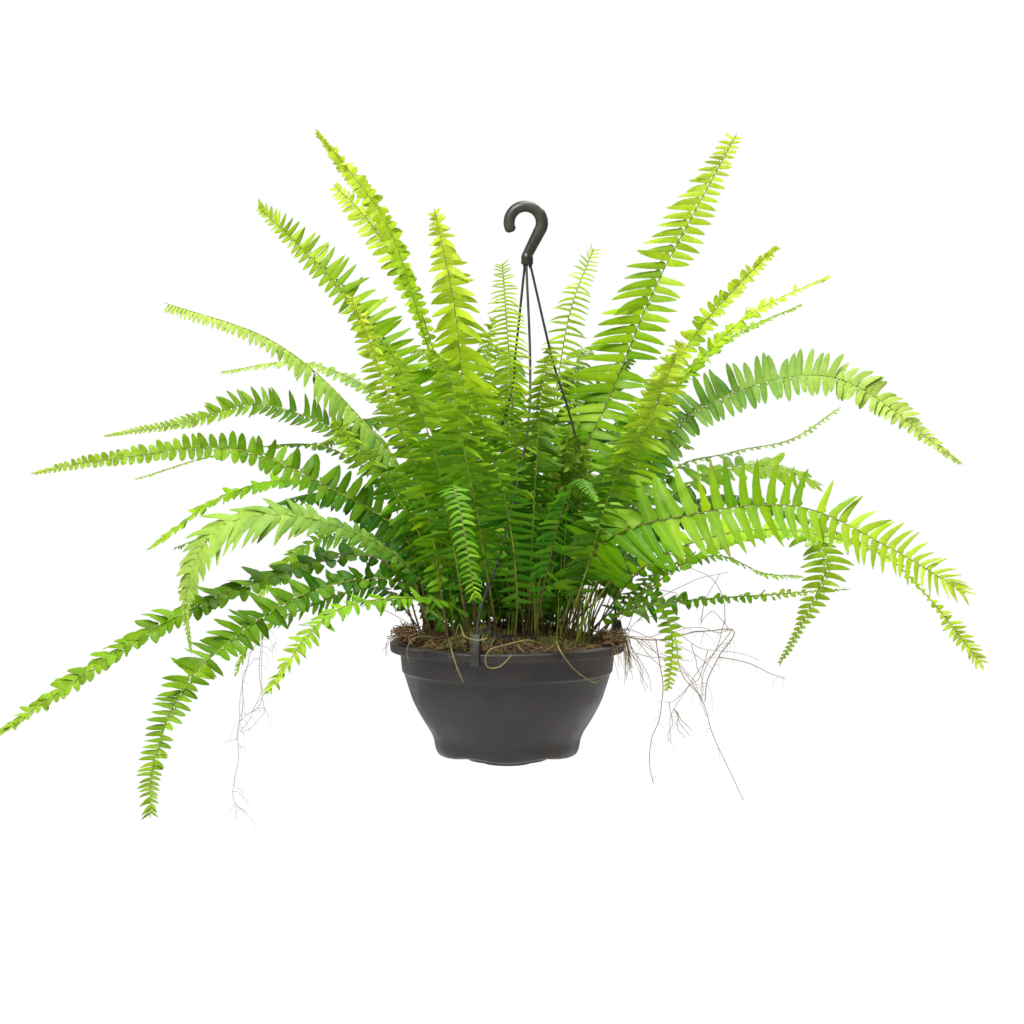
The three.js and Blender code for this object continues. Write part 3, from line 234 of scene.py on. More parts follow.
FRONDS = {"up": [
    ("bright", (-25, 12), 13, 0.15,
     [(-50, 12, 310), (-90, 22, 460), (-130, 35, 575), (-205, 50, 675)],
     dict(pitch=(7, 6.5), lengths=(0.35, 0.35, 0.3, 0.3, 0.3, 0.4, 0.65, 0.95, 0.95, 0.75, 0.35),
          breadth=(1.1, 1.2), sweep=(10, 25), lift=12, level=0, blunt=3.2, tone=(0, 0.9), youth=0.9,
          loose=1.5)),
    ("bright", (-22, 52), 18, 0.5,
     [(-60, 75, 330), (-90, 90, 470), (-140, 100, 565), (-190, 110, 620)],
     dict(pitch=(10.5, 8.5), lengths=(0.3, 0.3, 0.35, 0.35, 0.4, 0.45, 0.6, 0.85, 1.05, 0.9, 0.4),
          sides=(1.1, 0.75), breadth=(0.85, 0.85), sweep=(0, 8), blunt=3, tone=(0.4, 1),
          loose=1.2)),
    ("bright", (-48, -8), 32, 0.7,
     [(-65, -15, 305), (-105, -25, 405), (-170, -30, 500), (-260, -30, 590)],
     dict(pitch=(10.5, 7.5), sides=(0.7, 1.15), breadth=(0.95, 0.85), sweep=(-6, 6), lift=0, flat=0,
          hang=0, droop=0.3, curl=0.12, blunt=1.8, tone=(0, 0.6), youth=0.5, rib=1)),
    ("bright", (-18, -42), 36, 1,
     [(-30, -50, 315), (-45, -62, 400), (-55, -70, 490), (-75, -75, 585)],
     dict(pitch=(9, 7.2), lengths=(0.7, 0.9, 1.05, 1.1, 0.9, 0.6, 0.2), sides=(0.9, 1.05),
          breadth=(1.02, 0.95), sweep=(0, 0), hang=0.1, droop=0.4, blunt=2.4, tone=(0.6, 1),
          youth=1, rib=0.7, loose=1.5)),
    ("bright", (4, -18), 22, 0.8,
     [(10, -24, 305), (5, -28, 390), (0, -32, 460), (-5, -35, 530)],
     dict(pitch=(5.6, 5), lengths=(0.9, 1.1, 1.2, 1.2, 1.05, 0.4), breadth=(0.5, 0.48), hang=0.05,
          droop=0.5, tone=(0.5, 1), rib=1)),
    ("bright", (22, 62), 26, 0.8,
     [(40, 90, 310), (55, 110, 405), (70, 120, 485), (95, 130, 550)],
     dict(pitch=(8, 7), lengths=(0.7, 1, 1.1, 1, 0.8, 0.35), breadth=(0.4, 0.4), hang=0.05,
          droop=0.5, tone=(0.3, 0.8), youth=0.4, rib=1)),
    ("bright", (45, 12), 38, 0.8,
     [(70, 22, 300), (110, 32, 390), (160, 40, 510), (245, 45, 670)],
     dict(pitch=(13, 9), lengths=(0.8, 1.05, 1.06, 0.95, 0.7, 0.22), sides=(1.25, 0.85),
          breadth=(0.82, 0.66), sweep=(-2, 4), flat=0.85, hang=0, droop=0.3, level=0.1, blunt=2.4,
          tone=(0.05, 0.8), youth=0.9, rib=0.5)),
    ("bright", (64, -4), 18, 0.3,
     [(100, -8, 300), (150, 0, 385), (210, 5, 470), (285, 10, 550)],
     dict(pitch=(8.5, 7), lengths=(1, 1.15, 1.1, 0.9, 0.7, 0.35), breadth=(0.9, 0.95),
          sweep=(15, 32), lift=25, blunt=3, tone=(0.1, 0.9), youth=0.9, loose=1.8)),
    ("bright", (60, 38), 15, 0.2,
     [(120, 55, 300), (185, 70, 400), (260, 80, 475), (350, 90, 520)],
     dict(pitch=(7, 5.5), lengths=(1.1, 1.1, 1.05, 1, 0.85, 0.4), breadth=(1, 1), sweep=(20, 38),
          lift=25, blunt=3, tone=(0.2, 0.8), youth=0.9, loose=1.8)),
    ("green", (45, 72), 13, 0.2,
     [(115, 110, 305), (175, 140, 385), (245, 160, 450), (330, 180, 490)],
     dict(pitch=(8, 7), lengths=(1.1, 1, 0.9, 0.8, 0.65, 0.35), breadth=(0.9, 0.9), sweep=(20, 38),
          lift=25, blunt=3, tone=(0.4, 1), loose=1.8)),
    ("bright", (-62, -50), 26, 0.9,
     [(-85, -62, 285), (-115, -80, 370), (-140, -90, 445), (-160, -95, 495)],
     dict(pitch=(8, 6.2), breadth=(0.68, 0.75), flat=0.8, hang=0, blunt=2.2, tone=(0.1, 0.95),
          youth=1, rib=0.8, loose=2)),
    ("green", (-40, -66), 34, 1,
     [(-60, -90, 265), (-75, -120, 340), (-95, -140, 395), (-120, -150, 445)],
     dict(pitch=(8.4, 6.5), breadth=(0.64, 0.72), flat=0.85, hang=0, blunt=2.2, tone=(0.25, 1),
          youth=1, rib=0.8, loose=2)),
    ("green", (-10, -72), 32, 1,
     [(-30, -120, 270), (-45, -150, 350), (-55, -165, 405), (-75, -172, 445)],
     dict(pitch=(8.8, 6.6), breadth=(0.6, 0.7), flat=0.9, hang=0, droop=0.3, blunt=2.2,
          tone=(0.25, 1), rib=0.8, bare=0.2, loose=2.2)),
    ("bright", (50, -48), 34, 0.9,
     [(95, -45, 240), (130, -60, 315), (155, -70, 385), (180, -75, 450)],
     dict(pitch=(8.2, 6), breadth=(0.85, 0.8), flat=0.85, hang=0, droop=0.3, tone=(0.05, 0.85),
          youth=1, rib=0.8, bare=0.2, loose=2)),
    ("green", (22, 22), 28, 0.7,
     [(40, 28, 215), (60, 36, 300), (90, 45, 370), (135, 55, 435)],
     dict(pitch=(8.5, 6.3), breadth=(1, 0.9), flat=0.8, droop=0.4, tone=(0, 0.6), rib=0.8,
          loose=2.2)),
    ("green", (-8, 18), 26, 0.8,
     [(0, 22, 215), (-15, 28, 320), (-25, 30, 405), (-15, 34, 475)],
     dict(pitch=(8.5, 6.3), breadth=(0.75, 0.72), flat=0.8, droop=0.4, tone=(0, 0.7), rib=0.8,
          loose=2.2)),
    ("deep", (22, -45), 30, 1,
     [(25, -60, 220), (30, -72, 315), (35, -80, 390), (45, -84, 445)],
     dict(pitch=(8.8, 6.6), breadth=(0.75, 0.7), flat=0.9, tone=(0, 0.6), rib=0.8, bare=0.2,
          loose=2.2)),
], "right": [
    ("grey_green", (76, 18), 33, 0.6,
     [(140, 30, 290), (205, 45, 375), (350, 60, 410), (495, 75, 315)],
     dict(pitch=(9.5, 8), lengths=(1, 1.05, 1, 1, 1.05, 1.05, 0.9, 0.4, 0.15), sides=(1.05, 0.8),
          breadth=(0.88, 0.85), sweep=(0, 8), skew=(-8, 22), flat=0, hang=0.05, droop=0.3,
          curl=0.02, blunt=3.6, tone=(0, 1), youth=1.6, rib=1, bare=0.18)),
    ("grey_green", (70, 58), 20, 0.2,
     [(170, 110, 295), (245, 130, 325), (315, 140, 340), (370, 150, 375)],
     dict(pitch=(9, 8), lengths=(0.8, 0.7, 0.6, 0.5, 0.4, 0.25), breadth=(0.6, 0.6))),
    ("deep", (84, 0), 26, 0.5,
     [(150, 8, 260), (220, 18, 310), (285, 25, 315), (335, 30, 295)],
     dict(pitch=(13, 11), lengths=(0.6, 0.8, 1, 1, 1, 0.6), breadth=(0.85, 0.85), blunt=4,
          tone=(0.1, 0.7))),
    ("bright", (68, -54), 50, 0.8,
     [(95, -110, 240), (185, -150, 275), (290, -180, 285), (380, -192, 245), (455, -200, 200)],
     dict(pitch=(17, 9), lengths=(0.85, 1.05, 1.08, 0.8, 0.6, 0.36), breadth=(0.85, 0.55),
          sweep=(0, 25), skew=(-26, 4), flat=0, droop=0.2, curl=0.12, blunt=1.6, tone=(0, 0.7),
          youth=0.75, rib=0.45)),
    ("bright", (86, -22), 34, 0.6,
     [(150, -62, 220), (260, -82, 255), (375, -92, 235), (430, -97, 190), (490, -102, 115)],
     dict(pitch=(11, 7.5), lengths=(0.6, 0.8, 0.8, 0.7, 0.5, 0.35, 0.25, 0.2, 0.13, 0.52, 0.35),
          breadth=(0.75, 0.75), sweep=(0, 0), flat=0.6, hang=0, droop=0.1, blunt=2.2, tone=(0.3, 1),
          rib=0.6)),
    ("green", (92, 6), 24, 0.7,
     [(195, -12, 220), (285, -24, 250), (335, -32, 225), (320, -40, 175), (285, -50, 110)],
     dict(pitch=(12, 7), lengths=(0.4, 0.5, 0.6, 0.85, 1.2, 1.3, 0.8, 0.25, 0.15),
          breadth=(0.7, 0.7), sweep=(0, 0), lift=0, flat=0.95, hang=0, droop=0.1, level=0,
          blunt=2.4, tone=(1, 1), youth=3, loose=1.6)),
    ("green", (88, 30), 24, 0.3,
     [(165, 62, 200), (230, 80, 215), (280, 95, 195), (325, 110, 190)],
     dict(pitch=(8, 7), lengths=(0.8, 0.7, 0.6, 0.5, 0.45, 0.25), breadth=(0.6, 0.6),
          tone=(0.3, 1))),
    ("green", (96, -12), 20, 0.4,
     [(125, -20, 165), (195, -10, 175), (280, 0, 180), (365, 10, 185)],
     dict(pitch=(9, 7), lengths=(1.25, 1.3, 0.7, 0.45, 0.4, 0.42, 0.35, 0.18, 0.12),
          breadth=(0.75, 0.75), sweep=(15, 35), flat=0, blunt=2.6, tone=(0.7, 1), youth=3,
          loose=2.4)),
    ("green", (88, -42), 16, 0.6,
     [(140, -72, 190), (160, -92, 175), (170, -100, 140), (165, -105, 90)],
     dict(pitch=(9.5, 6.5), lengths=(0.5, 0.3, 0.55, 0.8, 0.65, 0.3), breadth=(0.7, 0.65),
          sweep=(0, 0), hang=0, droop=0.15, blunt=2.4, tone=(0.6, 1), youth=2, loose=1.6)),
], "left": [
    ("grey_green", (-60, 12), 34, 0.25,
     [(-95, 22, 280), (-170, 40, 380), (-255, 55, 450), (-370, 70, 490)],
     dict(lengths=(0.6, 1.15, 1.3, 0.95, 0.5, 0.38, 0.3), breadth=(0.7, 0.95), hang=0.8, droop=1.2,
          blunt=2.2, tone=(0.5, 1), youth=1, rib=1)),
    ("grey_green", (-55, 50), 20, 0.3,
     [(-85, 90, 310), (-145, 110, 390), (-225, 120, 425), (-315, 130, 415)],
     dict(lengths=(0.8, 0.8, 0.75, 0.75, 0.7, 0.5), breadth=(0.9, 0.9))),
    ("deep", (-72, 22), 26, 0.8,
     [(-95, 42, 245), (-160, 60, 335), (-265, 75, 380), (-350, 85, 360), (-440, 90, 345)],
     dict(pitch=(8.5, 7), lengths=(0.4, 0.5, 0.8, 0.95, 0.8, 0.35, 0.12), sides=(0.7, 1),
          breadth=(0.8, 0.8), sweep=(18, 30), flat=0, hang=0, droop=0.12, curl=0.2, blunt=1.9,
          tone=(0.1, 0.9), youth=0.9)),
    ("deep", (-82, 0), 28, 0.85,
     [(-105, -2, 235), (-170, -10, 285), (-285, -20, 335), (-420, -26, 325), (-500, -30, 310)],
     dict(pitch=(12, 7.5), lengths=(1, 0.95, 0.75, 0.55, 0.35, 0.12), sides=(0.85, 1.05),
          breadth=(0.75, 0.85), sweep=(0, 14), flat=0, blunt=3.8, tone=(0.3, 1), youth=1,
          loose=1.4)),
    ("deep", (-72, 52), 22, 0.3,
     [(-105, 90, 255), (-195, 120, 330), (-310, 140, 325), (-415, 150, 295)],
     dict(pitch=(9, 8), lengths=(0.8, 0.7, 0.5, 0.4, 0.3, 0.25), tone=(0.2, 0.8))),
    ("green", (-86, 32), 18, 0.4,
     [(-115, 60, 235), (-215, 80, 295), (-310, 95, 280), (-395, 105, 220)],
     dict(pitch=(8.5, 7), lengths=(0.6, 0.6, 0.85, 1.1, 0.95, 0.5), breadth=(0.95, 1),
          tone=(0.2, 1))),
    ("grey_green", (-84, -28), 32, 0.6,
     [(-110, -50, 220), (-200, -70, 265), (-280, -85, 265), (-318, -90, 232), (-332, -92, 180),
      (-326, -94, 128)],
     dict(pitch=(9.5, 7), lengths=(0.3, 0.35, 0.5, 1, 1.5, 1.4, 0.7, 0.2, 0.1), sides=(1.05, 0.85),
          breadth=(1.1, 0.95), sweep=(24, 40), hang=0.1, droop=0.4, level=0.1, blunt=1.7,
          tone=(0.1, 1.5), youth=0.5, rib=1)),
    ("deep", (-94, -10), 22, 0.6,
     [(-135, -20, 220), (-240, -45, 205), (-370, -75, 150), (-525, -100, 45)],
     dict(pitch=(13, 8), lengths=(0.6, 0.95, 1.15, 1.05, 0.8, 0.4), sides=(0.75, 1.15),
          breadth=(1.1, 0.9), sweep=(14, 24), blunt=3, tone=(0.35, 0.95), youth=0.5, loose=1.8)),
    ("deep", (-76, -48), 26, 0.8,
     [(-110, -70, 200), (-210, -110, 190), (-315, -150, 115), (-355, -165, 30), (-360, -170, -30)],
     dict(pitch=(10.5, 6.3), lengths=(0.45, 0.7, 1.1, 1, 0.62, 0.38), sides=(0.85, 1.15),
          breadth=(1.1, 0.7), sweep=(8, 4), hang=0.02, droop=0.1, curl=0.06, blunt=2.6,
          tone=(0.25, 0.85), youth=0.5, loose=1.8)),
    ("green", (-92, 14), 26, 0.5,
     [(-125, 22, 225), (-185, 32, 240), (-235, 40, 215), (-270, 45, 170)], {}),
    ("green", (-40, -86), 26, 0.4,
     [(-55, -122, 180), (-115, -150, 190), (-180, -180, 175), (-240, -200, 100)],
     dict(pitch=(7, 6), lengths=(0.5, 0.75, 0.9, 0.75, 0.6, 0.3), breadth=(0.8, 0.8), tone=(0.7, 1),
          youth=1, loose=2.2)),
    ("green", (-90, 48), 24, 0.4,
     [(-140, 72, 180), (-225, 90, 155), (-280, 98, 125), (-300, 104, 80)], {}),
    ("green", (-62, -22), 28, 0.8,
     [(-80, -32, 220), (-120, -50, 295), (-155, -60, 335), (-180, -66, 370)],
     dict(pitch=(8.2, 6.3), breadth=(0.65, 0.7), flat=0.7, droop=0.4, tone=(0.1, 0.8), rib=0.8,
          loose=1.5)),
], "front": [
    ("green", (-30, -78), 24, 0.4,
     [(-40, -130, 225), (-55, -200, 305), (-45, -260, 285), (-30, -290, 200)],
     dict(pitch=(8.5, 7), lengths=(0.4, 0.5, 0.6, 0.65, 0.6, 0.4), breadth=(0.5, 0.5), flat=0.8,
          hang=0, blunt=2.4, tone=(0.1, 0.5), youth=0, rib=0.1, loose=1.5)),
    ("green", (8, -84), 32, 0.9,
     [(10, -95, 195), (0, -118, 280), (-20, -145, 350), (-35, -170, 405)],
     dict(pitch=(9.2, 7), breadth=(0.6, 0.62), flat=0.9, hang=0, droop=0.25, blunt=1.9,
          tone=(0.1, 0.6), youth=0.3, rib=0.8, loose=1.5)),
    ("deep", (58, -66), 32, 0.8,
     [(85, -100, 225), (105, -140, 300), (125, -185, 345), (145, -235, 375)],
     dict(pitch=(9, 6.8), breadth=(0.62, 0.65), flat=0.85, hang=0, droop=0.3, blunt=2,
          tone=(0, 0.8), rib=0.8, bare=0.18, loose=2)),
    ("green", (28, -80), 28, 0.6,
     [(40, -115, 210), (55, -175, 280), (70, -235, 315), (85, -290, 300)],
     dict(lengths=(0.5, 0.85, 0.8, 0.6, 0.4, 0.2), breadth=(0.6, 0.6), flat=0.8, droop=0.4,
          tone=(0, 0.15), youth=0, rib=0.2, bare=0.18)),
]}

# Tufts on the far side: node, root and the degrees that each of the three fronds is turned.
TUFTS = [
    ("fronds_back_right", (62, 62), (22, 60, 80)),
    ("fronds_back_middle", (4, 88), (104, 76, 92)),
    ("fronds_back_left", (-40, 78), (150, 128, 116)),
]
TUFT_REACH = (400, 310, 180)
TUFT_HEIGHT = (290, 375, 440)
TUFT_DROOP = (0.72, 0.86, 1)
TUFT_LEAFLET = 28
TUFT_TURN = 0.1
TUFT_GROWTH = dict(breadth=(1, 0.8), droop=0.8, tone=(0, 0.4))

# Short fronds low in the crown: how many, and the ranges of x, y, height, reach and turn.
LOW_FRONDS = [
    (24, (-85, 45), (-45, 70), (22, 65), (10, 60), (0.2, 0.8)),
    (20, (-85, 45), (-45, 70), (60, 140), (10, 60), (0.2, 0.8)),
    (13, (-60, 65), (0, 60), (120, 185), (5, 35), (0.4, 1)),
    (6, (42, 76), (-28, -8), (165, 220), (5, 20), (0.9, 1)),
]
LOW_LEAFLETS = (10, 20)
LOW_GROWTH = dict(pitch=(7.6, 6.6), breadth=(0.85, 0.8), droop=0.8, tone=(0.1, 0.6), youth=0.4,
                  bare=0.15, loose=2)

FROND_STEPS = 110
LOW_STEPS = 26
CROWN = np.array([-10.0, -10.0, 175.0])  # the middle of the leaves, where a darker tone is painted on as shade
CROWN_REACH = 232
FULLNESS = (1.04, 1.12)                  # every leaflet's length and width beside its row's
TIP_CLOSING = 50                         # degrees by which the last leaflets close to the tip
RIB_WIDTH = (2.2, 0.8)                   # at the root and at the tip
RIB_THICKNESS = (1.9, 0.7)
RIB_OUTLINE = [(0.6, -0.8), (0, -1), (-0.6, -0.8), (-1, 0.1), (-0.72, 0.8), (0, 0.42),
               (0.72, 0.8), (1, 0.1)]
RIB_HAIRS = 26
# How far leaflets stray from their rows, in radians or as a share.
STRAY = {"sweep": 0.09, "lift": 0.16, "droop": 0.35, "curl": 0.3, "twist": 0.2}
LOST_LEAFLETS = 0.015                    # the share of leaflets that have dropped
DRY_LEAFLETS = 0.04                      # the share of leaflets with a dry tip
TONE_STRAY = 0.17
BLADE_THICKNESS = 0.5                    # at the midrib
STATIONS = np.array([0, 0.035, 0.09, 0.17, 0.28, 0.41, 0.54, 0.67, 0.79, 0.89, 0.96])

# Each leaf's dark, light and young blade, its veins, and its glow when dark and when light.
LEAF_COLOURS = {
    "leaf_bright": [(0.11, 0.31, 0.001), (0.46, 0.66, 0.016), (0.68, 0.75, 0.08),
                    (0.50, 0.66, 0.03), (0.20, 0.42, 0.001), (0.61, 0.74, 0.012)],
    "leaf_green": [(0.035, 0.18, 0.001), (0.27, 0.52, 0.01), (0.48, 0.62, 0.045),
                   (0.30, 0.48, 0.02), (0.08, 0.29, 0.001), (0.40, 0.62, 0.008)],
    "leaf_grey_green": [(0.085, 0.25, 0.018), (0.36, 0.54, 0.08), (0.60, 0.71, 0.15),
                        (0.42, 0.56, 0.11), (0.14, 0.33, 0.01), (0.43, 0.61, 0.07)],
    "leaf_deep": [(0.022, 0.125, 0.001), (0.25, 0.46, 0.012), (0.47, 0.61, 0.045),
                  (0.26, 0.44, 0.02), (0.05, 0.21, 0.001), (0.36, 0.56, 0.008)],
}
# Strength and depth, in metres, of each material's fine relief.
RELIEFS = {"leaf": (0.16, 0.0003), "stem": (0.4, 0.0003), "plastic": (0.25, 0.0002),
           "peat": (0.9, 0.002)}
LEAF_GLOW = 0.45                         # the share of a leaf's look that is light let through
DRY_BROWN = (0.28, 0.14, 0.04)
SPECK_BROWN = (0.1, 0.05, 0.025)
MOSS_GREEN = (0.075, 0.085, 0.014)
GRIT_PALE = (0.24, 0.17, 0.1)
PEAT_BROWNS = [(0.012, 0.007, 0.004), (0.036, 0.021, 0.012)]


# Meshes

def unit(vectors):
    """The same directions with a length of one."""
    vectors = np.asarray(vectors, float)
    return vectors / np.maximum(np.linalg.norm(vectors, axis=-1, keepdims=True), 1e-9)


def dot(a, b):
    return np.sum(a * b, axis=-1, keepdims=True)


def between(pair, share):
    """The value at that share of the way from a pair's first to its last."""
    return pair[0] + (pair[1] - pair[0]) * share


def hill(values, middle, spread):
    """One at the middle, and less on both sides."""
    return np.exp(-(((values - middle) / spread) ** 2))


def level_way(angle):
    """The level direction at an angle in radians, seen from above."""
    return np.array([math.cos(angle), math.sin(angle), 0.0])


def on_circle(radius, angle):
    return radius * math.cos(angle), radius * math.sin(angle)


def circle(count):
    return np.linspace(0, 2 * math.pi, count, endpoint=False)


def bands(count, sides):
    """Four-sided faces between rings of points."""
    k = np.arange(sides)
    after = (k + 1) % sides
    return np.vstack([
        np.stack([low + k, low + after, low + sides + after, low + sides + k], axis=1)
        for low in range(0, (count - 1) * sides, sides)
    ])


def show(name, data):
    """A new object in the scene."""
    made = bpy.data.objects.new(name, data)
    bpy.context.scene.collection.objects.link(made)
    return made


class Shape:
    """Closed bodies gathered for one mesh."""

    def __init__(self):
        self.points = []
        self.faces = []
        self.finishes = []
        self.place = []
        self.tint = []
        self.count = 0

    def add(self, points, faces, finish=0, place=(0, 0, 0), tint=(0.5, 0, 0)):
        """Takes points, faces as rows of indices, and two triples for the materials to read."""
        points = np.asarray(points, float).reshape(-1, 3)
        for rows in faces:
            rows = np.asarray(rows, int)
            if len(rows):
                self.faces += (rows + self.count).tolist()
                self.finishes += [finish] * len(rows)
        self.points.append(points)
        self.place.append(np.broadcast_to(np.asarray(place, float), points.shape))
        self.tint.append(np.broadcast_to(np.asarray(tint, float), points.shape))
        self.count += len(points)

    def make(self, name, materials, slot, stands_for=(), crease=50):
        """Turns what was gathered into an object that rides with the part."""
        mesh = bpy.data.meshes.new(name)
        mesh.from_pydata((np.vstack(self.points) - SEAT) / 1000, [], self.faces)
        for label, rows in (("place", self.place), ("tint", self.tint)):
            attribute = mesh.attributes.new(label, "FLOAT_VECTOR", "POINT")
            attribute.data.foreach_set("vector", np.vstack(rows).astype(np.float32).ravel())
        for material in materials:
            mesh.materials.append(material)
        mesh.polygons.foreach_set("material_index", self.finishes)
        mesh.polygons.foreach_set("use_smooth", [True] * len(self.faces))
        mesh.set_sharp_from_angle(angle=math.radians(crease))
        mesh.update()
        piece = show(name, mesh)
        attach(piece, "root")
        if stands_for:
            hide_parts(*stands_for)


def smooth_line(points, count):
    """Evenly spaced points on the smooth curve through the given ones."""
    p = np.asarray(points, float)
    p = np.vstack([2 * p[0] - p[1], p, 2 * p[-1] - p[-2]])
    t = np.linspace(0, 1, 40, endpoint=False)[:, None]
    rows = []
    for a, b, c, d in zip(p, p[1:], p[2:], p[3:]):
        slope = (c - a) * t
        square = (2 * a - 5 * b + 4 * c - d) * t ** 2
        cube = (3 * b - a - 3 * c + d) * t ** 3
        rows.append((2 * b + slope + square + cube) / 2)
    dense = np.vstack(rows + [p[-2:-1]])
    reach = np.concatenate([[0], np.cumsum(np.linalg.norm(np.diff(dense, axis=0), axis=1))])
    at = np.linspace(0, reach[-1], count)
    return np.stack([np.interp(at, reach, dense[:, k]) for k in range(3)], axis=1)


def tangents(line):
    return unit(np.gradient(line, axis=0))


def skin(shape, rings, start, end, **looks):
    """Faces between rings of points, closed by a fan at each end."""
    count, sides = rings.shape[:2]
    k = np.arange(sides)
    after = (k + 1) % sides
    top, first = (count - 1) * sides, count * sides
    fans = np.vstack([
        np.stack([np.full(sides, first), after, k], axis=1),
        np.stack([np.full(sides, first + 1), top + k, top + after], axis=1),
    ])
    points = np.vstack([rings.reshape(-1, 3), start, end])
    shape.add(points, [bands(count, sides), fans], **looks)


def add_plate(shape, rings):
    """A thick plate between rings of one outline, with its two faces as polygons."""
    count, sides = rings.shape[:2]
    k = np.arange(sides)
    shape.add(rings, [bands(count, sides), [k[::-1]], [(count - 1) * sides + k]])


def tube(shape, line, radii, sides=6, **looks):
    """A round strand along the line, with a radius at each point."""
    line = np.asarray(line, float)
    radii = np.broadcast_to(np.asarray(radii, float), len(line))
    along = tangents(line)
    held = np.array([0.1, 1, 0.05])
    across = np.empty_like(line)
    for i, way in enumerate(along):
        held = unit(held - way * np.dot(held, way))
        across[i] = held
    angle = circle(sides)[None, :, None]
    spin = np.cos(angle) * across[:, None] + np.sin(angle) * np.cross(along, across)[:, None]
    rings = line[:, None] + spin * radii[:, None, None]
    start = line[0] - along[0] * radii[0] * 0.5
    end = line[-1] + along[-1] * radii[-1] * 0.8
    skin(shape, rings, start, end, **looks)


def strand(shape, line, ends, sides, tone, finish=0):
    """A tube in one tone that tapers from its first radius to its last."""
    radii = np.linspace(*ends, len(line))
    tube(shape, line, radii, sides, finish=finish, tint=(tone, 0.5, 0))


def rounded(profile, reaches):
    """The outline with each corner cut into an arc that begins at its reach from the corner."""
    profile = [np.asarray(p, float) for p in profile]
    reaches = np.broadcast_to(reaches, len(profile))
    rows = [profile[0]]
    for before, corner, after, reach in zip(profile, profile[1:], profile[2:], reaches[1:]):
        back, on = before - corner, after - corner
        start = corner + unit(back) * min(reach, np.linalg.norm(back) * 0.48)
        end = corner + unit(on) * min(reach, np.linalg.norm(on) * 0.48)
        for t in (0, 0.25, 0.5, 0.75, 1):
            rows.append(start * (1 - t) ** 2 + corner * 2 * t * (1 - t) + end * t ** 2)
    return np.array(rows + [profile[-1]])


def turned(profile, segments):
    """Rings of a turned shape, and its two points on the axis."""
    angle = circle(segments)
    inner = profile[1:-1]
    rings = np.stack([
        inner[:, :1] * np.cos(angle), inner[:, :1] * np.sin(angle),
        np.broadcast_to(inner[:, 1:], (len(inner), segments)),
    ], axis=2)
    return rings, np.array([0, 0, profile[0][1]]), np.array([0, 0, profile[-1][1]])


# Materials

def feed(tree, socket, given):
    """Links a socket to another one, or sets it to a number or colour."""
    if isinstance(given, bpy.types.NodeSocket):
        tree.links.new(given, socket)
    elif socket.type == "RGBA":
        socket.default_value = (*given, 1)
    else:
        socket.default_value = given


def add_node(tree, kind, inputs=(), **settings):
    """A shader node with its settings, and its inputs by name or number."""
    made = tree.nodes.new("ShaderNode" + kind)
    for key, value in settings.items():
        setattr(made, key, value)
    for key, given in dict(inputs).items():
        feed(tree, made.inputs[key], given)
    return made


def maths(tree, operation, *values):
    """A Math node on sockets or numbers."""
    return add_node(tree, "Math", enumerate(values), operation=operation).outputs[0]


def times(tree, a, b):
    return maths(tree, "MULTIPLY", a, b)


def ranged(tree, value, low, high, to_low=0.0, to_high=1.0):
    """A value eased from one range to another."""
    inputs = {"Value": value, "From Min": low, "From Max": high, "To Min": to_low,
              "To Max": to_high}
    return add_node(tree, "MapRange", inputs, interpolation_type="SMOOTHSTEP").outputs[0]


def blended(tree, factor, a, b):
    """A colour between a and b, each a socket or a plain colour."""
    return add_node(tree, "Mix", {0: factor, 6: a, 7: b}, data_type="RGBA").outputs[2]


def overlaid(tree, colour, layer, share, over):
    """The colour with another over it where the layer lies, up to a share."""
    return blended(tree, times(tree, layer, share), colour, over)


def scaled(colour, share):
    return tuple(c * share for c in colour)


def noise(tree, size, detail, roughness=0.5):
    """Soft noise that is fixed to the object."""
    inputs = {"Vector": object_spot(tree), "Scale": size, "Detail": detail,
              "Roughness": roughness}
    return add_node(tree, "TexNoise", inputs).outputs[0]


def object_spot(tree):
    return add_node(tree, "TexCoord").outputs["Object"]


def parts_of(tree, triple):
    return add_node(tree, "SeparateXYZ", {0: triple}).outputs


def mesh_triple(tree, name):
    """The three numbers that the mesh gives at each point under that name."""
    return parts_of(tree, add_node(tree, "Attribute", attribute_name=name).outputs["Vector"])


def new_group(name, inputs):
    """A node group with float inputs, each with its usual value, and their sockets inside."""
    group = bpy.data.node_groups.new(name, "ShaderNodeTree")
    for label, value in inputs.items():
        group.interface.new_socket(
            name=label, in_out="INPUT", socket_type="NodeSocketFloat").default_value = value
    return group, group.nodes.new("NodeGroupInput").outputs


def give_out(group, **results):
    """Gives the group a float output for each result."""
    for label in results:
        group.interface.new_socket(name=label, in_out="OUTPUT", socket_type="NodeSocketFloat")
    out = group.nodes.new("NodeGroupOutput")
    for label, socket in results.items():
        group.links.new(socket, out.inputs[label])
    return group


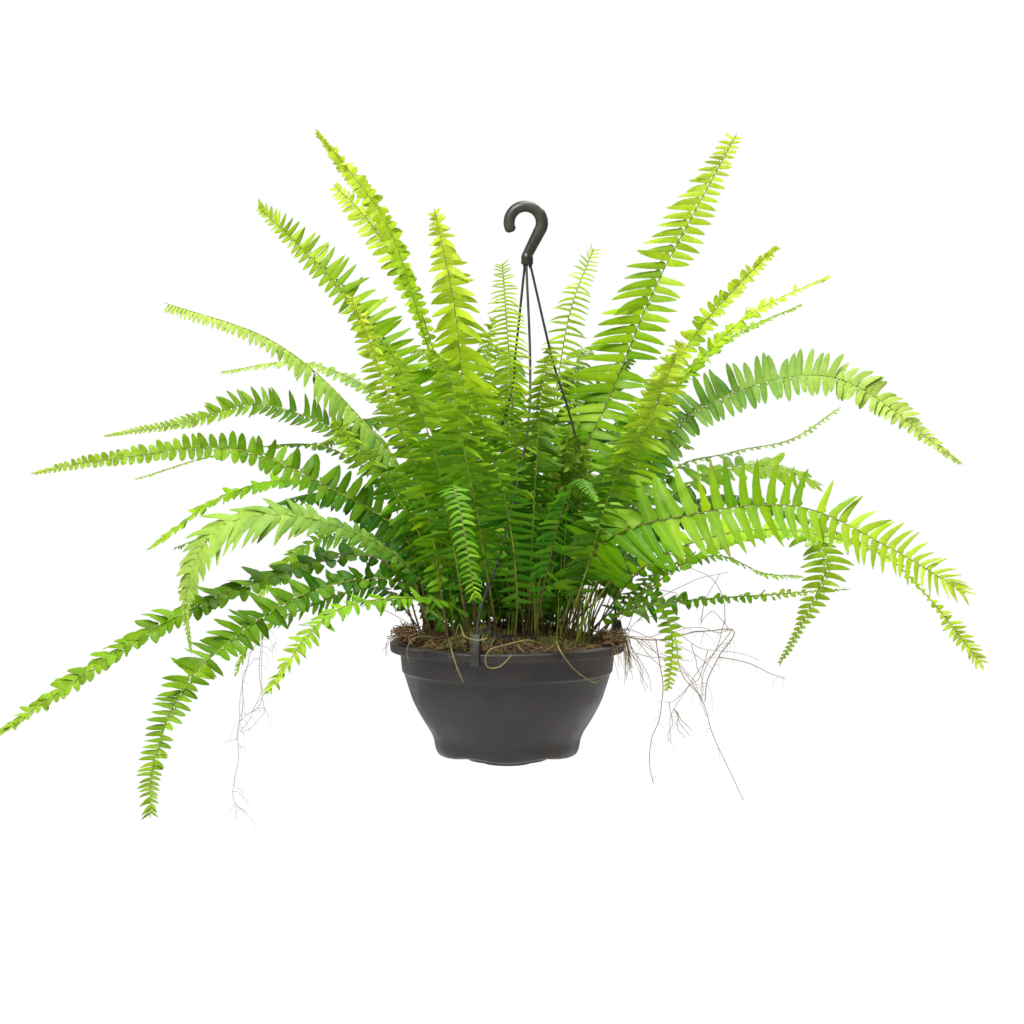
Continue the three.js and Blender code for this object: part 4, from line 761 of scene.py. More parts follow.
def make_blade_detail():
    """A leaflet's midrib, side veins, blotches and dry tip, from its place and tint."""
    group, given = new_group("blade_detail", {"Side veins": 11.0, "Blotch size": 90.0})
    across, along = mesh_triple(group, "place")[:2]
    across = maths(group, "ABSOLUTE", across)
    midrib = ranged(group, across, 0.05, 0.17, 1.0, 0.0)
    slant = maths(group, "SUBTRACT", along, times(group, across, 0.13))
    waves = times(group, slant, times(group, given["Side veins"], 2 * math.pi))
    side = ranged(group, maths(group, "SINE", waves), 0.55, 1.0)
    side = times(group, side, ranged(group, across, 0.1, 0.9, 1.0, 0.25))
    vein = maths(group, "MAXIMUM", midrib, times(group, side, 0.45))
    cloud = noise(group, given["Blotch size"], 2.0)
    blotch = ranged(group, cloud, 0.3, 0.7)
    edge = maths(group, "ADD", times(group, across, 0.35), along)
    edge = maths(group, "ADD", edge, times(group, cloud, 0.5))
    start = maths(group, "SUBTRACT", 1.75, mesh_triple(group, "tint")["Z"])
    dry = ranged(group, maths(group, "SUBTRACT", edge, start), 0.0, 0.12)
    height = maths(group, "ADD", times(group, vein, -0.8), times(group, blotch, 0.25))
    return give_out(group, Vein=vein, Blotch=blotch, Dry=dry, Height=height)


def make_moulded_grain():
    """Moulded plastic after some use: mottling, dust, scratches and a fine grain."""
    group, given = new_group("moulded_grain", {"Mottle size": 20.0, "Grain size": 900.0})
    mottle = noise(group, given["Mottle size"], 4.0, 0.6)
    grain = noise(group, given["Grain size"], 2.0)
    stretch = add_node(group, "Mapping", {
        "Vector": object_spot(group), "Scale": (300.0, 300.0, 24.0), "Rotation": (0.25, 0.1, 0)})
    lines = add_node(group, "TexNoise", {"Vector": stretch.outputs[0], "Scale": 1.0,
                                         "Detail": 2.0}).outputs[0]
    scratch = times(group, ranged(group, lines, 0.66, 0.74), ranged(group, mottle, 0.45, 0.6))
    tilt = parts_of(group, add_node(group, "NewGeometry").outputs["Normal"])["Z"]
    dust = times(group, ranged(group, tilt, 0.1, 0.95), ranged(group, mottle, 0.35, 0.7))
    height = maths(group, "SUBTRACT", grain, times(group, scratch, 0.6))
    mottle = ranged(group, mottle, 0.3, 0.7)
    return give_out(group, Mottle=mottle, Dust=dust, Scratch=scratch, Height=height)


def make_fibre():
    """Grown stems and roots: bands along them, specks and a stringy relief."""
    group, given = new_group("grown_fibre", {"Patch size": 60.0, "Fibre size": 700.0})
    patch = ranged(group, noise(group, given["Patch size"], 3.0), 0.35, 0.65)
    fibre = noise(group, given["Fibre size"], 3.0, 0.7)
    speck = ranged(group, fibre, 0.5, 0.75)
    return give_out(group, Patch=patch, Speck=speck, Height=fibre)


def place_group(tree, group, **inputs):
    made = tree.nodes.new("ShaderNodeGroup")
    made.node_tree = group
    for label, value in inputs.items():
        made.inputs[label.replace("_", " ")].default_value = value
    return made.outputs


def new_material(name, roughness, shine=0.5):
    """A material with a Principled surface, its node tree and the surface's inputs."""
    material = bpy.data.materials.new(name)
    material.use_nodes = True
    tree = material.node_tree
    surface = tree.nodes["Principled BSDF"].inputs
    surface["Roughness"].default_value = roughness
    surface["Specular IOR Level"].default_value = shine
    return material, tree, surface


def emboss(tree, surface, height, kind):
    """Turns a height into the surface's normal."""
    strength, depth = RELIEFS[kind]
    bump = add_node(tree, "Bump", {"Strength": strength, "Distance": depth, "Height": height})
    feed(tree, surface["Normal"], bump.outputs[0])


def mix_shaders(tree, factor, first, second, output="Material Output"):
    """Makes a mix of two shaders the one that shows."""
    both = add_node(tree, "MixShader", {0: factor, 1: first, 2: second})
    feed(tree, tree.nodes[output].inputs["Surface"], both.outputs[0])


def leaf_material(name, dark, light, young, vein, glow_dark, glow_light):
    """A leaflet's living blade, which lets light through."""
    material, tree, surface = new_material(name, 0.5, 0.15)
    detail = place_group(tree, BLADE_DETAIL)
    tone, youth = mesh_triple(tree, "tint")[:2]
    blade = blended(tree, youth, blended(tree, tone, dark, light), young)
    blade = overlaid(tree, blade, detail["Blotch"], 0.22, scaled(dark, 0.7))
    blade = overlaid(tree, blade, detail["Vein"], 0.25, vein)
    feed(tree, surface["Base Color"], blended(tree, detail["Dry"], blade, DRY_BROWN))
    feed(tree, surface["Roughness"], ranged(tree, detail["Blotch"], 0, 1, 0.36, 0.52))
    relief = times(tree, detail["Height"], maths(tree, "SUBTRACT", 1.0, youth))
    emboss(tree, surface, relief, "leaf")
    glow = blended(tree, tone, glow_dark, glow_light)
    through = add_node(tree, "BsdfTranslucent", {"Color": glow})
    mix_shaders(tree, LEAF_GLOW, tree.nodes["Principled BSDF"].outputs[0], through.outputs[0])
    return material


def stem_material(name, dark, light):
    """A stem or rib, from dark at tint 0 to light at tint 1."""
    material, tree, surface = new_material(name, 0.55, 0.25)
    grown = place_group(tree, FIBRE)
    colour = blended(tree, mesh_triple(tree, "tint")[0], dark, light)
    colour = overlaid(tree, colour, grown["Patch"], 0.5, scaled(dark, 0.55))
    colour = overlaid(tree, colour, grown["Speck"], 0.4, SPECK_BROWN)
    feed(tree, surface["Base Color"], colour)
    emboss(tree, surface, grown["Height"], "stem")
    return material


def plastic_material(name, base, dusty, roughness, dust_share, stain_share, stain):
    """Moulded plastic. The mesh says where it is stained, in its tint, and where shade is painted
    on it.
    """
    material, tree, surface = new_material(name, roughness, 0.4)
    moulded = place_group(tree, MOULDED_GRAIN)
    stained, dark = mesh_triple(tree, "tint")[:2]
    soiled = times(tree, stained, maths(tree, "ADD", moulded["Mottle"], 0.3))
    colour = blended(tree, moulded["Mottle"], base, scaled(base, 3.2))
    # The last layer is painted shade: it darkens the colour where the mesh's tint marks it.
    for layer, share, over in ((soiled, stain_share, stain), (moulded["Dust"], dust_share, dusty),
                               (moulded["Scratch"], 0.2, dusty), (dark, 0.55, scaled(base, 0.3))):
        colour = overlaid(tree, colour, layer, share, over)
    feed(tree, surface["Base Color"], colour)
    rough = ranged(tree, moulded["Mottle"], 0, 1, roughness - 0.1, roughness + 0.12)
    feed(tree, surface["Roughness"], rough)
    emboss(tree, surface, moulded["Height"], "plastic")
    return material


def soil_material():
    """Dark peat with fibres, pale grit and a film of moss."""
    material, tree, surface = new_material("peat", 0.95)
    grown = place_group(tree, FIBRE, Patch_size=45.0, Fibre_size=420.0)
    colour = blended(tree, grown["Patch"], *PEAT_BROWNS)
    moss = ranged(tree, noise(tree, 22.0, 4.0), 0.5, 0.66, 0.0, 0.75)
    colour = blended(tree, moss, colour, MOSS_GREEN)
    grit = add_node(tree, "TexVoronoi", {"Vector": object_spot(tree), "Scale": 520.0})
    pale = ranged(tree, grit.outputs["Distance"], 0.05, 0.16, 1.0, 0.0)
    pale = times(tree, pale, times(tree, grown["Speck"], 0.8))
    feed(tree, surface["Base Color"], blended(tree, pale, colour, GRIT_PALE))
    emboss(tree, surface, grown["Height"], "peat")
    return material


BLADE_DETAIL = make_blade_detail()
MOULDED_GRAIN = make_moulded_grain()
FIBRE = make_fibre()

POT_PLASTIC = plastic_material("pot_plastic", (0.0072, 0.0066, 0.0066), (0.10, 0.092, 0.088),
                               0.46, 0.4, 0.7, (0.060, 0.038, 0.022))
HANGER_PLASTIC = plastic_material("hanger_plastic", (0.012, 0.012, 0.0095),
                                  (0.09, 0.088, 0.075), 0.4, 0.3, 0.6, (0.036, 0.038, 0.018))
PEAT = soil_material()
STEM_SKIN = stem_material("stem_skin", (0.085, 0.05, 0.016), (0.22, 0.31, 0.02))
MOSS_SKIN = stem_material("moss_skin", (0.05, 0.07, 0.01), (0.20, 0.26, 0.02))
RUNNER_SKIN = stem_material("runner_skin", (0.15, 0.115, 0.04), (0.25, 0.225, 0.085))
ROOT_SKIN = stem_material("root_skin", (0.075, 0.040, 0.016), (0.42, 0.28, 0.13))
LEAVES = {name: leaf_material(name, *colours) for name, colours in LEAF_COLOURS.items()}


# Pot, soil and hanger

def pot_corner_reach(height):
    """How far a corner of the pot at that height is rounded."""
    if POT_WALL[0] < height < POT_WALL[1]:
        return POT_WALL_BEND
    return POT_FOOT_BEND if height in POT_FOOT else POT_CORNER


def build_pot():
    """The pot's turned wall, with the notches in its lower edge."""
    profile = POT_OUTSIDE + POT_INSIDE
    outline = rounded(profile, [pot_corner_reach(height) for _, height in profile])
    rings, low, high = turned(outline, POT_SEGMENTS)
    from_front = np.degrees(np.arctan2(abs(rings[..., 0]), abs(rings[..., 1])))
    in_notch = hill(from_front, FOOT_NOTCHES["from"], FOOT_NOTCHES["width"])
    radius = np.hypot(rings[..., 0], rings[..., 1])
    is_low_edge = (radius > FOOT_NOTCHES["inner"]) & (rings[..., 2] < FOOT_NOTCHES["top"])
    is_low_edge[len(rings) // 2:] = False
    rings[..., 2] += np.where(is_low_edge, FOOT_NOTCHES["depth"] * in_notch, 0)
    points = np.vstack([rings.reshape(-1, 3), low, high])
    turn = np.degrees(np.arctan2(points[:, 1], points[:, 0]))
    stain = 0.25 + 0.75 * hill(turn, STAIN["turn"], STAIN["spread"])
    stain = stain * (0.4 + 0.6 * hill(points[:, 2], STAIN["height"], STAIN["depth"]))
    # Painted shade in a band under the ledge, carried in the tint's second number.
    under_ledge = hill(points[:, 2], LEDGE_SHADE["height"], LEDGE_SHADE["depth"])
    tint = np.column_stack([stain, under_ledge, np.zeros(len(points))])
    shape = Shape()
    skin(shape, rings, low, high, tint=tint)
    shape.make("pot_shell", [POT_PLASTIC], "pot_plastic", ["pot"], crease=40)


def soil_height(x, y):
    """The height of the soil's domed and uneven top."""
    r = np.hypot(x, y) / SOIL_RADIUS
    relief = np.sin(x / 9 + 1) * np.cos(y / 11) + 0.6 * np.sin(x / 23 - y / 17)
    return SOIL_CENTRE - SOIL_FALL * r * r + SOIL_RELIEF * relief * np.maximum(0, 1 - r ** 4)


def build_soil(rng):
    """The peat's rough top over the ball that fills the pot."""
    angle = circle(SOIL_SEGMENTS)
    rings = [np.stack([r * np.cos(angle), r * np.sin(angle), np.full(SOIL_SEGMENTS, float(z))],
                      axis=1) for r, z in SOIL_SIDE]
    for share in SOIL_SHARES:
        x, y = SOIL_RADIUS * share * np.cos(angle), SOIL_RADIUS * share * np.sin(angle)
        rough = rng.normal(0, SOIL_ROUGHNESS, SOIL_SEGMENTS) * min(1, share * 3)
        rough = rough + SOIL_BUMPS * np.sin(x / 2.9 + np.cos(y / 4.1) * 2) * np.cos(y / 3.3)
        rings.append(np.stack([x, y, soil_height(x, y) + rough * (share < 0.98)], axis=1))
    shape = Shape()
    skin(shape, np.array(rings), (0, 0, SOIL_FOOT), (0, 0, soil_height(0, 0)))
    shape.make("peat_ball", [PEAT], "soil", ["soil"])


def build_crumbs(rng):
    """Loose crumbs and chips of peat and bark on the soil."""
    base = np.vstack([np.stack([way, -way]) for way in np.eye(3)])
    faces = [[0, 2, 4], [2, 1, 4], [1, 3, 4], [3, 0, 4], [2, 0, 5], [1, 2, 5], [3, 1, 5], [0, 3, 5]]
    shape = Shape()
    for _ in range(CRUMBS):
        x, y = on_circle(CRUMB_REACH * math.sqrt(rng.random()), rng.random() * 2 * math.pi)
        size = rng.uniform(*CRUMB_SIZE)
        size = size * np.array([rng.uniform(0.7, 1.8), 1, rng.uniform(0.4, 0.8)])
        turn = rng.random() * 2 * math.pi
        points = base * size * rng.uniform(0.75, 1.25, (6, 1))
        spun = np.array([[math.cos(turn), math.sin(turn)], [-math.sin(turn), math.cos(turn)]])
        points[:, :2] = points[:, :2] @ spun
        shape.add(points + (x, y, soil_height(x, y) + 0.8), [faces])
    shape.make("peat_crumbs", [PEAT], "soil", crease=30)


def upright_way(degrees):
    """The direction at an angle in the hook's own plane."""
    return np.array([math.cos(math.radians(degrees)), 0, math.sin(math.radians(degrees))])


def build_hook():
    """The hook: a round bar with a thicker spine down its outer side, on a collar."""
    bend = HOOK_INSIDE + HOOK_RADIUS
    end = HOOK_CENTRE + bend * upright_way(HOOK_TIP_DEGREES)
    points = [end + HOOK_TIP_WAY * past for past, _ in HOOK_TIP]
    radii = [HOOK_RADIUS * share for _, share in HOOK_TIP]
    spine = [0.0] * len(HOOK_TIP)
    for degrees in HOOK_DEGREES:
        points.append(HOOK_CENTRE + bend * upright_way(degrees))
        radii.append(HOOK_RADIUS)
        spine.append(min(1.0, max(0.0, (SPINE_DEGREES - degrees) / 5)))
    neck = np.array([COLLAR_X, 0, COLLAR_TOP - 2.0])
    last = points[-1]
    for share in (0.15, 0.3, 0.5, 0.75, 1.0):
        points.append(last * (1 - share) + neck * share)
        radii.append(HOOK_RADIUS * (1 - 0.12 * share))
        spine.append(1 - 0.6 * share)
    line = np.array(points)
    across = np.cross(FRONT_TO_BACK, tangents(line))
    outward = across * np.sign(dot(across, line - HOOK_CENTRE))
    outward[-5:] = across[-5:] * np.sign(across[-5:, :1])
    angle = circle(32)
    lean = np.cos(angle)
    raised = 1 + SPINE_RISE * np.array(spine)[:, None] * np.clip(lean, 0, 1) ** 0.5
    size = np.array(radii)[:, None] * raised
    rings = line[:, None] + outward[:, None] * (lean * size)[..., None]
    rings = rings + FRONT_TO_BACK * (np.sin(angle) * size / raised)[..., None]
    shape = Shape()
    skin(shape, rings[:, ::-1], line[0] + HOOK_TIP_WAY * 0.2, line[-1])
    collar = [(0, COLLAR_BOTTOM), (COLLAR_RADIUS, COLLAR_BOTTOM), (COLLAR_RADIUS, COLLAR_TOP - 4),
              (COLLAR_RADIUS * 0.8, COLLAR_TOP), (0, COLLAR_TOP)]
    rings, low, high = (part + (COLLAR_X, 0, 0) for part in turned(rounded(collar, 0.7), 48))
    skin(shape, rings, low, high)
    shape.make("hook_smooth", [HANGER_PLASTIC], "hanger_plastic", ["hook"], crease=45)


def build_rod(name, turn, path):
    """A rod from the collar down to the clip that grips the rim."""
    out = level_way(math.radians(turn))
    top = np.array([COLLAR_X, 0, COLLAR_BOTTOM - 0.4]) + out * SOCKET_RING
    line = smooth_line([top, *path, out * CLIP_ROD + UP * (CLIP_TOP - 4)], ROD_STEPS)
    shape = Shape()
    tube(shape, line, ROD_RADIUS, 12)
    tube(shape, [top + UP * 0.3, top - UP * 1.6, top - UP * 3.2], [2.1, 1.9, 1.35], 16)
    inner, over, under = RIM_RADIUS + CLIP_GAP, RIM_TOP + CLIP_GAP, RIM_UNDERSIDE - CLIP_GAP
    outline = [(117, over), (inner, over), (inner, under), (CLIP_INSIDE, under),
               (CLIP_INSIDE, under - 3), (inner + 2.6, under - 3), (inner + 3.4, over + 2),
               (125, CLIP_TOP), (118, CLIP_TOP), (116, over + 4), (116, over), (117, over)]
    edge = rounded(outline, 0.55)[1:-1]
    middle = edge.mean(axis=0)
    side = np.cross(UP, out)
    rings = []
    half = CLIP_WIDTH / 2
    for across, inset in ((-half, 0.35), (-half + 0.4, 0), (half - 0.4, 0), (half, 0.35)):
        drawn = edge + unit(middle - edge) * inset
        rings.append([out * r + UP * z + side * across for r, z in drawn])
    add_plate(shape, np.array(rings))
    shape.make(name + "_moulded", [HANGER_PLASTIC], "hanger_plastic", [name], crease=45)


# Grown strands

def at_pixel(x, y, depth):
    """The point that shows at that pixel of the picture, at that depth behind the pot's axis."""
    forward = unit(AIM - EYE)
    right = np.array([1.0, 0, 0])
    upward = np.cross(right, forward)
    ray = forward * FOCAL + right * (x - PICTURE / 2) + upward * (PICTURE / 2 - y)
    return EYE + ray * (depth - EYE[1]) / ray[1]


def stem_line(root, path, count):
    """A smooth line from a little under the soil through the path."""
    x, y = root
    ground = float(soil_height(x, y))
    return np.vstack([[x, y, ground - 8], smooth_line([(x, y, ground + 6), *path], count)])


def wandering(rng, line, step):
    """The line with a slow random wander that leaves its ends where they are."""
    count = len(line)
    knots = rng.normal(0, step, (max(3, count // 4), 3))
    at = np.linspace(0, len(knots) - 1, count)
    wander = np.stack([np.interp(at, np.arange(len(knots)), knots[:, k]) for k in range(3)], axis=1)
    return line + wander * np.sin(np.linspace(0, math.pi, count))[:, None]


def wandering_line(rng, points, count, step):
    return wandering(rng, smooth_line(points, count), step)


def add_rootlets(shape, rng, line, count, length, radius):
    """Hair roots that leave a strand sideways and hang down from it."""
    t = np.linspace(0, 1, 9)[:, None]
    for _ in range(count):
        i = rng.integers(2, len(line) - 1)
        out = unit(rng.normal(0, 1, 3) * (1, 1, 0.5))
        reach = length * rng.uniform(0.35, 1)
        sag = UP * reach * rng.uniform(0.2, 0.9) * t ** 2
        hair = line[i] + out * reach * t * (1 - 0.35 * t) - sag
        hair = wandering(rng, hair, reach * 0.05)
        strand(shape, hair, (radius, radius * 0.35), 3, rng.uniform(0.2, 1))


def build_runners(rng):
    """The pale runners, which thicken at their joints and bear hair roots."""
    for name, root, path in RUNNERS:
        line = stem_line(root, path, 16 + 8 * len(path))
        knots = np.clip(np.sin(np.linspace(0, len(path) * 5, len(line))), 0.5, 1)
        radii = np.linspace(0.85, 0.55, len(line)) * (1 + 0.18 * knots)
        shape = Shape()
        tube(shape, line, radii, 10, tint=(rng.uniform(0.45, 0.95), 0.5, 0))
        add_rootlets(shape, rng, line[8:], 7, 9, 0.28)
        shape.make(name + "_vine", [RUNNER_SKIN], "runner_pale", [name])


def hung_from(strands, line):
    """The line with its first part drawn over so that it starts on the nearest strand."""
    points = np.vstack(strands)
    apart = np.linalg.norm((points - line[0]) * (1, 0.25, 1), axis=1)
    pull = np.linspace(1, 0, len(line))[:, None] ** 2
    return line + (points[np.argmin(apart)] - line[0]) * pull


def build_sprays(rng):
    """The hanging roots: main strands, branches, and threads that start on them."""
    for name, thick, root, path, branches, threads in ROOT_SPRAYS:
        shape = Shape()
        main = wandering(rng, stem_line(root, path, 60), 1.0)
        strand(shape, main, (thick, thick * 0.6), 6, 0.6)
        add_rootlets(shape, rng, main[12:], 40, 30, 0.2)
        strands = [main[8:]]
        for branch in branches:
            line = wandering_line(rng, branch, 34, 1.4)
            strand(shape, line, (thick * 0.7, 0.3), 5, rng.uniform(0.3, 0.9))
            add_rootlets(shape, rng, line, 9, 14, 0.18)
            strands.append(line)
        for depth, pixels in threads:
            line = smooth_line([at_pixel(x, y, depth + 5 * math.sin(x)) for x, y in pixels], 26)
            line = wandering(rng, hung_from(strands, line), 1.3)
            strand(shape, line, (thick * 0.5, 0.2), 4, rng.uniform(0.2, 1))
            add_rootlets(shape, rng, line, 3, 12, 0.16)
            strands.append(line)
        shape.make(name + "_strands", [ROOT_SKIN], "root_brown", [name])


def build_root_mat(rng):
    """Old roots that lie matted on the soil, tangle over the rim and hang a little below it."""
    shape = Shape()
    for _ in range(MAT_ROOTS):
        a = rng.random() * 2 * math.pi
        sweep = rng.normal(0, 0.22)
        ends = rng.uniform(60, 112), rng.uniform(96, 121)
        rows = []
        for share in (0, 0.33, 0.66, 1):
            r = between(ends, share)
            x, y = on_circle(r, a + sweep * share)
            ground = max(float(soil_height(x, y)), RIM_TOP if r > RIM_INSIDE else 0)
            rows.append((x, y, ground + rng.uniform(0.4, 4.5)))
        line = wandering_line(rng, rows, MAT_STEPS, 0.8)
        strand(shape, line, (0.55, 0.3), 3, 0.6 * rng.random())
    for centre, spread, count in TANGLES:
        for _ in range(count):
            rows = np.array(centre) + rng.normal(0, 0.55, (4, 3)) * spread
            rows[:, 2] = np.maximum(rows[:, 2], RIM_TOP + 1)
            line = wandering_line(rng, rows, MAT_STEPS, 1.2)
            strand(shape, line, (0.5, 0.25), 3, 0.7 * rng.random())
    for _ in range(OVERHANGING_ROOTS):
        right = rng.random() < RIGHT_SHARE
        out = level_way((0.0 if right else math.pi) + rng.normal(-0.1 if right else 0.1, 0.22))
        drop = rng.uniform(8, 42) if right else rng.uniform(4, 16)
        rows = [out * 112 + UP * 134, out * 124 + UP * 134, out * 129 + UP * (128 - drop * 0.3),
                out * rng.uniform(126, 136) + UP * (126 - drop)]
        line = wandering_line(rng, rows, MAT_STEPS, 1.2)
        strand(shape, line, (0.4, 0.2), 3, rng.uniform(0.4, 1))
    strand(shape, smooth_line(PALE_STRAND, 30), (0.7, 0.45), 6, 0.6, finish=1)
    shape.make("root_mat", [ROOT_SKIN, RUNNER_SKIN], "root_brown")


def build_moss(rng):
    """Clumps of moss on the soil, each a few dozen short blades."""
    shape = Shape()
    for _ in range(MOSS_CLUMPS):
        a, r = rng.random() * 2 * math.pi, MOSS_REACH * math.sqrt(rng.uniform(0.15, 1))
        for _ in range(rng.integers(10, 26)):
            x, y = np.array(on_circle(r, a)) + rng.normal(0, 4.5, 2)
            if math.hypot(x, y) > MOSS_EDGE:
                continue
            foot = np.array([x, y, float(soil_height(x, y)) - 0.5])
            lean = rng.normal(0, 0.35, 3) * (1, 1, 0)
            height = rng.uniform(*MOSS_HEIGHT)
            line = [foot, foot + UP * height * 0.6 + lean * height * 0.4,
                    foot + UP * height + lean * height]
            tube(shape, line, [0.5, 0.4, 0.12], 4, tint=(rng.random(), 0.5, 0))
    shape.make("moss", [MOSS_SKIN], "soil", crease=80)


def build_old_stems(rng):
    """Dried stalks of past fronds at the left and back, and thin green ones at the right."""
    shape = Shape()
    for index in range(OLD_STEMS):
        green = int(index % 3 > 0)
        if green:
            x, y = rng.uniform(0, 92), rng.uniform(-62, 30)
        else:
            x, y = rng.normal(-25, 38), rng.normal(12, 36)
        if math.hypot(x, y) > OLD_STEM_REACH:
            continue
        ground = float(soil_height(x, y))
        height = rng.uniform(*((45, 120) if green else (18, 90)))
        lean = level_way(math.atan2(y, x)) * rng.uniform(-0.1, 0.4) + rng.normal(0, 0.12, 3)
        rows = [(x, y, ground - 3)] + [
            (x, y, ground + height * rise) + lean * height * out
            for rise, out in ((0.3, 0.2), (0.7, 0.6), (1, 1))]
        line = wandering_line(rng, rows, 14, 0.7)
        thick = 0.7 if green else 0.6
        tone = rng.uniform(*((0.1, 0.9) if green else (0, 0.35)))
        if index % 12 == 4:
            thick, tone = 1.3, 1.0
        strand(shape, line, (thick, thick / 2), 5, tone, finish=green)
    shape.make("old_stems", [ROOT_SKIN, STEM_SKIN], "root_brown")


# Fronds

def all_fronds():
    """Every frond: node, slot, root, longest leaflet, turn, path and growth."""
    for group, rows in FRONDS.items():
        for number, (colour, *row) in enumerate(rows, 1):
            yield f"frond_{group}_{number}", "leaf_" + colour, *row
    for node, root, turns in TUFTS:
        for reach, height, droop, degrees in zip(TUFT_REACH, TUFT_HEIGHT, TUFT_DROOP, turns):
            out = level_way(math.radians(degrees))
            path = [np.array([*root, 0.0]) + out * reach * share + UP * height * rise
                    for share, rise in ((0.14, 0.62), (0.45, 0.96), (1, droop))]
            yield node, "leaf_deep", root, TUFT_LEAFLET, TUFT_TURN, path, TUFT_GROWTH


def frond_frames(line, turn):
    """Direction of travel, upper side and left side along a frond."""
    along = tangents(line)
    out = unit((line[-1] - line[0]) * (1, 1, 0))
    share = np.linspace(0, 1, len(line))[:, None]
    natural = unit(out * (-0.9 + 1.8 * share) + UP * 0.8)
    upper = natural * (1 - turn) + np.array([0, -1, 0.15]) * turn
    upper = unit(upper - along * dot(upper, along))
    return along, upper, np.cross(upper, along)


def sample(rows, at):
    """Values of rows at fractional places."""
    low = np.clip(np.floor(at).astype(int), 0, len(rows) - 2)
    part = (at - low)[:, None]
    return rows[low] * (1 - part) + rows[low + 1] * part


def outline_width(t, blunt):
    """A leaflet's half width along its length, as a share of its widest."""
    base = np.minimum(1, 0.78 + (t / 0.06) ** 0.7 * 0.22)
    return base * np.maximum(0.0, 1 - t ** blunt) ** 0.72


def pitch_at(share, pitch):
    """The distance between pairs, which gets smaller in the last part of a frond."""
    return between(pitch, share) * (1 - 0.45 * np.clip((share - 0.78) / 0.22, 0, 1))


def pair_shares(blade, pitch):
    """Where the pairs sit along the blade."""
    share = np.linspace(0, 1, 400)
    count = np.cumsum(blade / 400 / pitch_at(share, pitch))
    return np.interp(np.arange(int(count[-1])), count, share)


def blade_faces(side):
    """One leaflet's faces, which look outwards on either side of the rib."""
    top = 4 * (len(STATIONS) - 1)
    k = np.arange(4)
    quads = np.vstack([bands(len(STATIONS), 4)[:, [0, 3, 2, 1]], [[0, 1, 2, 3]]])
    end = np.stack([top + k, np.full(4, top + 4), top + (k + 1) % 4], axis=1)
    return (quads, end) if side > 0 else (quads[:, ::-1], end[:, ::-1])


